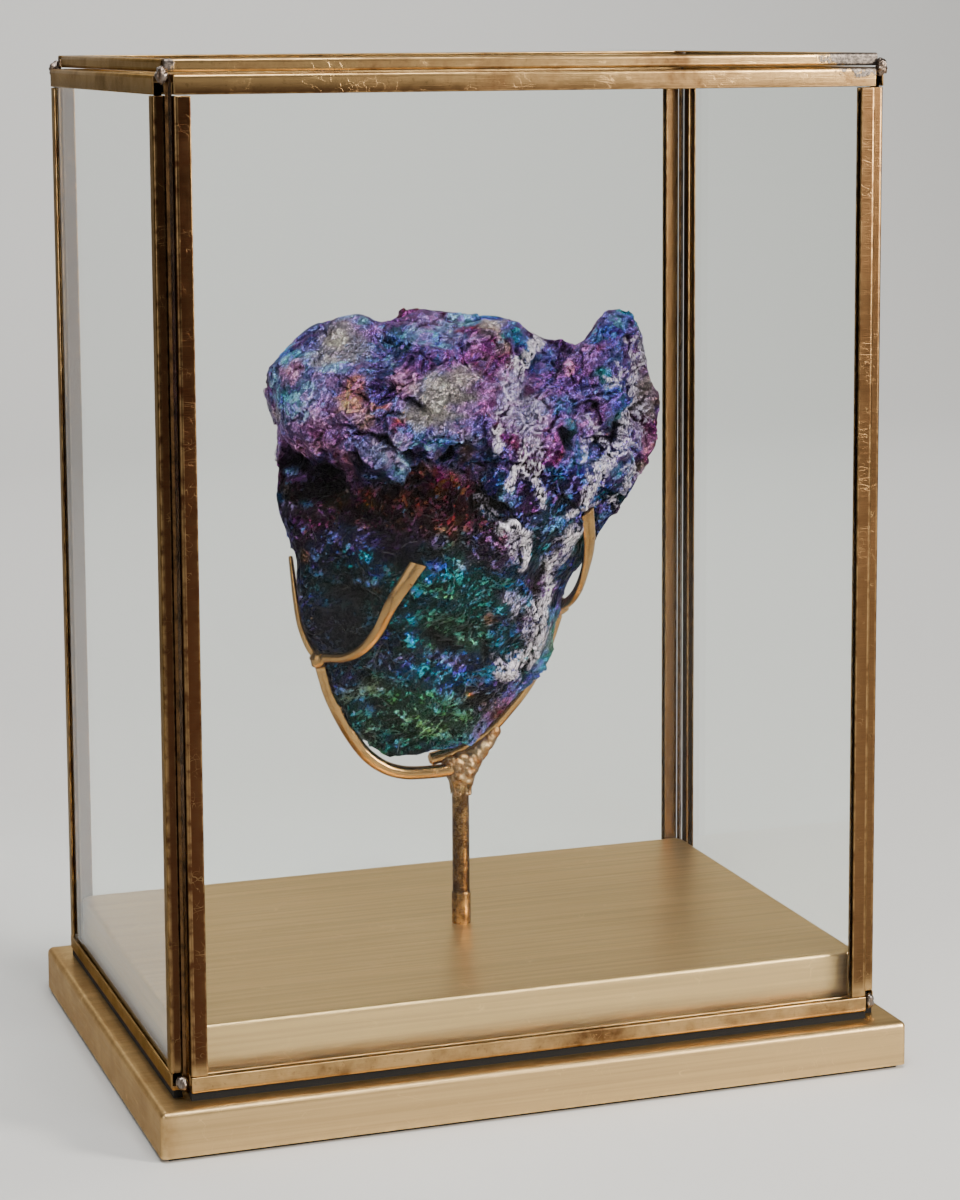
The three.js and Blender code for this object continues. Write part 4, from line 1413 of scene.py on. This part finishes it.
def ore_material(vein_colour, sparkle, brightness):
    """Tarnished ore: patches broken into small facets of shifting hue, with rough white veins."""
    material, tree, shader = new_material("peacock_ore")
    place = surface_place(tree)
    tint = node(tree, "Attribute", attribute_name="tint").outputs["Color"]
    vein, hollow, relief, dark_ore_and_shade = (
        node(tree, "Attribute", attribute_name=name).outputs["Fac"]
        for name in ("vein", "hollow", "relief", "dark_ore_and_shade")
    )

    wobble = node(tree, "TexNoise", {"Vector": place, "Scale": 0.5, "Detail": 2.0}).outputs["Color"]
    warped = vector_maths(tree, "ADD", vector_maths(tree, "MULTIPLY", wobble, (0.45,) * 3), place)
    flaky = stretched(tree, warped, (0.6, 1.0, 1.0), (0, 38, 0))
    large_cells = {"Vector": flaky, "Scale": 0.42}
    facets = node(tree, "TexVoronoi", large_cells).outputs
    grains = node(tree, "TexVoronoi", {"Vector": flaky, "Scale": 1.25}).outputs
    cracks = node(tree, "TexVoronoi", large_cells, feature="DISTANCE_TO_EDGE").outputs["Distance"]
    facet = node(tree, "SeparateColor", {"Color": facets["Color"]}).outputs
    grain = node(tree, "SeparateColor", {"Color": grains["Color"]}).outputs

    # Grains glint in clusters, most on the crests: they are lighter, more metallic and glossier, and
    # their lean to the crests and part of their lightness is painted highlight. The rest of them stay
    # dark.
    cluster = either_way(tree, noise(tree, place, 0.14, 4, 0.65), 1.8)
    crest = either_way(tree, relief, 0.45)
    chance = plus(tree, times(tree, grain["Green"], 0.5), times(tree, facet["Green"], 0.5))
    chance = plus(tree, chance, plus(tree, cluster, crest))
    chance = minus(tree, chance, times(tree, dark_ore_and_shade, 0.14))
    glint = soft_step(tree, chance, 0.48, 0.6)

    # Every facet has a hue of its own, and so has every grain in it.
    hue = plus(tree, times(tree, facet["Red"], 0.12), times(tree, grain["Red"], 0.06))
    # Painted shade in part: where the face is dark, grains stay darker and fewer of them glint.
    dull = soft_step(tree, dark_ore_and_shade, 0, 1, 0.38 * brightness, 0.06 * brightness)
    bright = soft_step(tree, dark_ore_and_shade, 0, 1, 2.1 * brightness, 1.4 * brightness)
    light = between(tree, dull, bright, glint)
    specks = soft_step(tree, noise(tree, place, 2.9, 2, 0.6), 0.38, 0.62, 0.3, 1.8)
    light = times(tree, light, specks)
    varied = {
        "Hue": plus(tree, hue, 0.41),
        "Saturation": soft_step(tree, dark_ore_and_shade, 0, 1, 1.0, 1.1),
        "Value": light,
        "Color": tint,
    }
    colour = node(tree, "HueSaturation", varied).outputs["Color"]
    flecks = node(tree, "ValToRGB", {"Fac": grain["Blue"]})
    stops = flecks.color_ramp
    stops.interpolation = "CONSTANT"
    stops.elements[0].color = shown(INK["cyan"])
    stops.elements[1].position = 0.28
    stops.elements[1].color = shown(INK["mauve"])
    for position, name in ((0.45, "blue"), (0.62, "lilac"), (0.76, "gold"), (0.86, "violet")):
        stops.elements.new(position).color = shown(INK[name])
    fleck_share = soft_step(tree, times(tree, grain["Red"], facet["Blue"]), 0.4, 0.8, 0, 0.45)
    colour = blended(tree, colour, flecks.outputs["Color"], times(tree, fleck_share, glint))

    # Painted shade: darker in concave places, hollows, pits and the cracks between facets; a little
    # lighter on crests, a painted highlight.
    deep = soft_step(tree, relief, 0.15, 0.65, 0.32, 1.1)
    deep = times(tree, deep, soft_step(tree, hollow, 0.1, 0.8, 1.0, 0.12))
    deep = times(tree, deep, soft_step(tree, cracks, 0.0, 0.07, 0.55, 1.0))
    cavity_shade = node(tree, "CombineColor", {"Red": deep, "Green": deep, "Blue": deep})
    colour = blended(tree, colour, cavity_shade.outputs["Color"], 1.0, "MULTIPLY")

    # White mineral, frayed and broken up so that the rock shows through it.
    strands = stretched(tree, warped, (1.0, 1.0, 0.33), (0, -12, 0))
    large = either_way(tree, noise(tree, strands, 1.2, 6, 0.85), 5.6)
    small = either_way(tree, noise(tree, strands, 2.2, 4, 0.85), 4.6)
    solid = soft_step(tree, vein, 0.5, 0.95)
    fray = between(tree, small, large, solid)
    raised = either_way(tree, relief, 1.1)
    white = plus(tree, times(tree, vein, 0.62), plus(tree, fray, raised))
    white = times(tree, soft_step(tree, white, 0.48, 0.56), soft_step(tree, vein, 0.02, 0.25))
    mottle = soft_step(tree, noise(tree, strands, 1.5, 6, 0.85), 0.42, 0.56)
    chalk = blended(tree, shown([c * 0.46 for c in vein_colour]), shown(vein_colour), mottle)
    stained = soft_step(tree, noise(tree, place, 0.22, 3, 0.6), 0.56, 0.72, 0, 0.55)
    chalk = blended(tree, chalk, shown(INK["brown"]), stained)
    veiled = blended(tree, chalk, shown(INK["lilac"]), 0.35)
    chalk = blended(tree, veiled, chalk, solid)
    colour = blended(tree, colour, chalk, white)

    dull_metal = soft_step(tree, dark_ore_and_shade, 0, 1, 0.6, 0.95)
    metal = between(tree, dull_metal, 0.95, glint)
    metal = times(tree, minus(tree, 1.0, white), metal)
    gloss = soft_step(tree, glint, 0, 1, 0.42, 0.2)
    gloss = maths(tree, "MAXIMUM", gloss, times(tree, white, 0.62))

    # Every facet and every grain is tilted its own way.
    tilted = node(tree, "NewGeometry").outputs["Normal"]
    for cells in (facets, grains):
        lean = vector_maths(tree, "SUBTRACT", cells["Color"], (0.5, 0.5, 0.5))
        lean = vector_maths(tree, "MULTIPLY", lean, (sparkle,) * 3)
        tilted = vector_maths(tree, "ADD", tilted, lean)
    tilted = vector_maths(tree, "NORMALIZE", tilted)
    sharpness = soft_step(tree, dark_ore_and_shade, 0, 1, 1.9, 1.1)
    creases = times(tree, noise(tree, flaky, 1.1, 4, 0.75), sharpness)
    creases = plus(tree, creases, times(tree, white, 0.25))
    normal = bumped(tree, creases, 1.0, 0.7 * MM, Normal=tilted)
    use(tree, shader, Base_Color=colour, Metallic=metal, Roughness=gloss, Normal=normal)
    use(tree, shader, Specular_IOR_Level=0.2, Specular_Tint=shown((0.55, 0.5, 0.6)))
    return material


# Stage


# The camera's place, lens and sensor are in millimetres. Its turns are to the right, down and about
# its view, in radians. Its shift is a share of the frame's height.
CAMERA_PLACE = (-361.2, -1074.6, 385.2)
CAMERA_TURNS = (0.3326, 0.1285, -0.0056)
CAMERA_LENS = 90.255
CAMERA_SENSOR = 36
CAMERA_SHIFT = -0.15


def camera_matrix(place, yaw, pitch, roll):
    """A camera's matrix from its place and its turns in radians."""
    level = math.cos(pitch)
    ahead = Vector((math.sin(yaw) * level, math.cos(yaw) * level, -math.sin(pitch)))
    right = Vector((math.cos(yaw), -math.sin(yaw), 0))
    up = right.cross(ahead)
    across = right * math.cos(roll) + up * math.sin(roll)
    upward = up * math.cos(roll) - right * math.sin(roll)
    matrix = Matrix((across, upward, -ahead)).transposed().to_4x4()
    matrix.translation = place
    return matrix


def add_camera():
    """Adds the camera that the case is seen through."""
    camera = bpy.data.cameras.new("camera")
    camera.sensor_width = CAMERA_SENSOR
    camera.lens = CAMERA_LENS
    camera.shift_y = CAMERA_SHIFT
    eye = bpy.data.objects.new("camera", camera)
    bpy.context.scene.collection.objects.link(eye)
    eye.matrix_world = camera_matrix(Vector(CAMERA_PLACE) * MM, *CAMERA_TURNS)
    bpy.context.scene.camera = eye


def add_light(name, place, size, power, colour=(1, 1, 1), target=(0, 0, 0.18)):
    """Adds a soft rectangular light that is turned to its target."""
    light = bpy.data.lights.new(name, "AREA")
    light.shape = "RECTANGLE"
    light.size, light.size_y = size
    light.energy = power
    light.color = colour
    lamp = bpy.data.objects.new(name, light)
    bpy.context.scene.collection.objects.link(lamp)
    lamp.location = place
    aim = Vector(target) - Vector(place)
    lamp.rotation_euler = aim.to_track_quat("-Z", "Y").to_euler()
    return lamp


def sweep_mesh(name, width, front, back, rise, bend):
    """A floor that curves up into a backdrop."""
    profile = [(-front, 0.0), (back, 0.0)]
    steps = 16
    for i in range(1, steps + 1):
        angle = math.pi / 2 * i / steps
        profile.append((back + bend * math.sin(angle), bend * (1 - math.cos(angle))))
    profile.append((back + bend, rise))
    verts = [(sx * width / 2, y, z) for y, z in profile for sx in (-1, 1)]
    faces = [(2 * i, 2 * i + 1, 2 * i + 3, 2 * i + 2) for i in range(len(profile) - 1)]
    return mesh_from(name, verts, faces, 60)


# Settings


class StageSettings(bpy.types.PropertyGroup):
    floor_colour: FloatVectorProperty(
        name="Floor colour", description="Colour of the floor and backdrop",
        subtype="COLOR", size=3, min=0, max=1, default=(0.78, 0.775, 0.76),
    )
    key_power: FloatProperty(
        name="Key light", description="Power of the light at the right",
        unit="POWER", min=0, default=36.0,
    )
    top_power: FloatProperty(
        name="Top light", description="Power of the light above the front",
        unit="POWER", min=0, default=28.0,
    )
    fill_power: FloatProperty(
        name="Fill light", description="Power of the light at the left",
        unit="POWER", min=0, default=5.0,
    )
    backdrop_power: FloatProperty(
        name="Backdrop light", description="Power of the light on the backdrop",
        unit="POWER", min=0, default=45.0,
    )
    surround: FloatProperty(
        name="Surround", description="Strength of the even light all round", min=0, default=0.16,
    )


class BaseSettings(bpy.types.PropertyGroup):
    brass_colour: FloatVectorProperty(
        name="Brass", description="Colour of the brushed brass tiers",
        subtype="COLOR", size=3, min=0, max=1, default=(0.75, 0.63, 0.44),
    )
    plinth_corner: FloatProperty(
        name="Plinth corner", description="Radius of the plinth's upright corners",
        unit="LENGTH", min=0.0003, default=0.0022,
    )
    platform_corner: FloatProperty(
        name="Platform corner", description="Radius of the platform's upright corners",
        unit="LENGTH", min=0.0003, default=0.0045,
    )
    plinth_edge: FloatProperty(
        name="Plinth edge", description="Radius of the plinth's top edge",
        unit="LENGTH", min=0.0002, default=0.0022,
    )
    platform_edge: FloatProperty(
        name="Platform edge", description="Radius of the platform's top edge",
        unit="LENGTH", min=0.0002, default=0.0014,
    )
    # Near black, so that the felt under the cover also stands for the shadow in the gap there:
    # painted shade.
    felt_and_shadow_colour: FloatVectorProperty(
        name="Felt", description="Colour of the felt and of the pad under the base",
        subtype="COLOR", size=3, min=0, max=1, default=(0.014, 0.012, 0.010),
    )


class CoverSettings(bpy.types.PropertyGroup):
    strip_colour: FloatVectorProperty(
        name="Aged brass", description="Colour of the browned strips",
        subtype="COLOR", size=3, min=0, max=1, default=(0.38, 0.275, 0.17),
    )
    rubbed_colour: FloatVectorProperty(
        name="Rubbed brass", description="Colour of the strips where they are rubbed bright",
        subtype="COLOR", size=3, min=0, max=1, default=(0.70, 0.57, 0.38),
    )
    solder_colour: FloatVectorProperty(
        name="Solder", description="Colour of the solder at the corners",
        subtype="COLOR", size=3, min=0, max=1, default=(0.47, 0.43, 0.40),
    )
    glass_colour: FloatVectorProperty(
        name="Glass", description="Tint of the panes",
        subtype="COLOR", size=3, min=0, max=1, default=(0.99, 1.0, 0.995),
    )
    strip_edge: FloatProperty(
        name="Strip edge", description="Radius of the strips' edges",
        unit="LENGTH", min=0.00005, default=0.0003,
    )


class CradleSettings(bpy.types.PropertyGroup):
    rod_colour: FloatVectorProperty(
        name="Rod brass", description="Colour of the arms and prongs",
        subtype="COLOR", size=3, min=0, max=1, default=(0.61, 0.47, 0.285),
    )
    patina_colour: FloatVectorProperty(
        name="Patina", description="Colour of the rods' patina",
        subtype="COLOR", size=3, min=0, max=1, default=(0.42, 0.27, 0.13),
    )
    post_colour: FloatVectorProperty(
        name="Post brass", description="Colour of the darker post",
        subtype="COLOR", size=3, min=0, max=1, default=(0.58, 0.45, 0.27),
    )
    weld_colour: FloatVectorProperty(
        name="Weld", description="Colour of the silvery weld",
        subtype="COLOR", size=3, min=0, max=1, default=(0.56, 0.48, 0.36),
    )


class OreSettings(bpy.types.PropertyGroup):
    voxel: FloatProperty(
        name="Fineness", description="Distance between the points of the ore's mesh",
        unit="LENGTH", min=0.0005, default=0.00092,
    )
    smoothing: IntProperty(
        name="Smoothing", description="Rounds of smoothing before the surface is broken up",
        min=0, default=24,
    )
    sparkle: FloatProperty(
        name="Sparkle", description="How far the smallest grains tilt", min=0, max=2, default=0.6,
    )
    brightness: FloatProperty(
        name="Brightness", description="Brightness of the tarnish colours", min=0, default=1.0,
    )
    vein_colour: FloatVectorProperty(
        name="Veins", description="Colour of the white mineral",
        subtype="COLOR", size=3, min=0, max=1, default=(0.88, 0.84, 0.88),
    )


# Operators


class DISPLAY_CASE_OT_stage(bpy.types.Operator):
    """Adds the floor, the lights and the camera"""

    bl_idname = "display_case.stage"
    bl_label = "Add Stage"

    def execute(self, context):
        settings = context.scene.display_case_stage
        material, tree, shader = new_material("studio_floor")
        use(tree, shader, Base_Color=shown(settings.floor_colour), Roughness=0.75)
        sweep = sweep_mesh("studio_sweep", width=14, front=6, back=1.6, rise=5, bend=1.2)
        floor = bpy.data.objects.new("studio_sweep", sweep)
        context.scene.collection.objects.link(floor)
        floor.data.materials.append(material)
        lamps = [
            add_light(
                "key_light", (0.95, -1.0, 0.62), (0.35, 0.35), settings.key_power,
                colour=(1.0, 0.96, 0.9),
            ),
            add_light("top_light", (-0.1, -0.72, 1.45), (0.8, 0.5), settings.top_power),
            add_light("fill_light", (-1.2, -0.7, 0.6), (0.7, 0.9), settings.fill_power),
            add_light("rim_light", (-0.5, 1.1, 1.2), (0.8, 0.5), settings.fill_power),
            add_light(
                "backdrop_light", (0.5, 0.9, 1.7), (1.2, 0.5), settings.backdrop_power,
                target=(0.6, 2.7, 0.7),
            ),
        ]
        world = bpy.data.worlds.new("studio")
        world.use_nodes = True
        background = world.node_tree.nodes["Background"]
        background.inputs["Color"].default_value = (0.9, 0.92, 0.95, 1)
        background.inputs["Strength"].default_value = settings.surround
        context.scene.world = world
        add_camera()
        return {"FINISHED"}


class DISPLAY_CASE_OT_base(bpy.types.Operator):
    """Dresses the pad, the plinth and the raised platform"""

    bl_idname = "display_case.base"
    bl_label = "Dress Base"

    def execute(self, context):
        settings = context.scene.display_case_base
        build_effects()
        brass = brushed_brass(settings.brass_colour)
        felt = black_felt(settings.felt_and_shadow_colour)
        plinth = tier("plinth_brass", "plinth", settings.plinth_corner, settings.plinth_edge)
        make_piece("plinth_brass", plinth, brass, "plinth", "plinth")
        sizes = settings.platform_corner, settings.platform_edge
        platform = tier("platform_brass", "raised_platform", *sizes)
        make_piece("platform_brass", platform, brass, "raised_platform", "raised_platform")
        for name in NODES:
            if name == "base_pad" or name.startswith("felt_strip"):
                finish_node(name, felt)
        return {"FINISHED"}


class DISPLAY_CASE_OT_cover(bpy.types.Operator):
    """Dresses the cover's panes, strips and solder"""

    bl_idname = "display_case.cover"
    bl_label = "Dress Cover"

    def execute(self, context):
        settings = context.scene.display_case_cover
        build_effects()
        glass = clear_glass(settings.glass_colour)
        brass = aged_brass(settings.strip_colour, settings.rubbed_colour, settings.solder_colour)
        stain = [c * 0.5 for c in settings.strip_colour]
        solder = solder_metal("solder", settings.solder_colour, settings.strip_colour, 0.6)
        seam = solder_metal("stained_solder", settings.strip_colour, stain, 0.6)
        seed = 0
        for name in sorted(NODES):
            if name.endswith("_pane"):
                finish_node(name, glass)
            elif name.startswith("solder_seam"):
                finish_node(name, seam)
            elif name.startswith("solder_"):
                seed += 1
                lump = solder_lump(f"{name}_lump", name, seed)
                make_piece(f"{name}_lump", lump, solder, "solder", name)
            elif is_channel(name):
                strip = softened(f"{name}_channel", name, settings.strip_edge)
                make_piece(f"{name}_channel", strip, brass, "aged_brass_strip", name)
        return {"FINISHED"}


class DISPLAY_CASE_OT_cradle(bpy.types.Operator):
    """Dresses the post, the weld, the arms, the forks and the prongs"""

    bl_idname = "display_case.cradle"
    bl_label = "Dress Cradle"

    def execute(self, context):
        settings = context.scene.display_case_cradle
        build_effects()
        rod = rod_brass("rod_brass", settings.rod_colour, settings.patina_colour, 0.5)
        darkened = [c * 0.6 for c in settings.patina_colour]
        dark = rod_brass("post_brass", settings.post_colour, darkened, 0.8, size=3.6)
        silver = solder_metal("weld", settings.weld_colour, settings.patina_colour, 0.68)
        for name, path in ARMS.items():
            piece = rod_mesh(f"{name}_rod", path, arm_size)
            make_piece(f"{name}_rod", piece, rod, "rod_brass", name)
        for name, path in PRONGS.items():
            tip = 0.35 if "front" in name else 0.0
            piece = rod_mesh(f"{name}_rod", path, prong_size, tip, TWISTS.get(name, 0))
            make_piece(f"{name}_rod", piece, rod, "rod_brass", name)
        for seed, name in enumerate(("left_fork", "right_fork")):
            piece = fork_mesh(f"{name}_ball", name, seed)
            make_piece(f"{name}_ball", piece, rod, "rod_brass", name)
        make_piece("post_rod", post_mesh("post_rod"), dark, "post_brass", "post")
        make_piece("weld_lumps", weld_mesh("weld_lumps"), silver, "weld", "weld")
        return {"FINISHED"}


class DISPLAY_CASE_OT_ore(bpy.types.Operator):
    """Builds the detailed rock"""

    bl_idname = "display_case.ore"
    bl_label = "Build Ore"

    def execute(self, context):
        settings = context.scene.display_case_ore
        build_effects()
        material = ore_material(settings.vein_colour, settings.sparkle, settings.brightness)
        mesh = ore_mesh(settings.voxel, settings.smoothing)
        make_piece("peacock_ore_rock", mesh, material, "peacock_ore", "peacock_ore")
        return {"FINISHED"}


class DISPLAY_CASE_PT_panel(bpy.types.Panel):
    """Lists the steps that dress the case"""

    bl_label = "Display Case"
    bl_idname = "DISPLAY_CASE_PT_panel"
    bl_space_type = "VIEW_3D"
    bl_region_type = "UI"
    bl_category = "Display Case"

    def draw(self, context):
        layout = self.layout
        scene = context.scene
        for operator, attribute, _ in STEPS:
            box = layout.box()
            box.operator(operator.bl_idname)
            settings = getattr(scene, attribute)
            for name in settings.__annotations__:
                box.prop(settings, name)


STEPS = [
    (DISPLAY_CASE_OT_stage, "display_case_stage", StageSettings),
    (DISPLAY_CASE_OT_base, "display_case_base", BaseSettings),
    (DISPLAY_CASE_OT_cover, "display_case_cover", CoverSettings),
    (DISPLAY_CASE_OT_cradle, "display_case_cradle", CradleSettings),
    (DISPLAY_CASE_OT_ore, "display_case_ore", OreSettings),
]
CLASSES = [
    *(settings for _, _, settings in STEPS),
    *(operator for operator, _, _ in STEPS),
    DISPLAY_CASE_PT_panel,
]


def register():
    for one in CLASSES:
        bpy.utils.register_class(one)
    for _, attribute, settings in STEPS:
        setattr(bpy.types.Scene, attribute, PointerProperty(type=settings))


def unregister():
    for _, attribute, _ in STEPS:
        delattr(bpy.types.Scene, attribute)
    for one in reversed(CLASSES):
        bpy.utils.unregister_class(one)


def main():
    register()
    bpy.ops.display_case.stage()
    bpy.ops.display_case.base()
    bpy.ops.display_case.cover()
    bpy.ops.display_case.cradle()
    bpy.ops.display_case.ore()


if __name__ == "__main__":
    main()
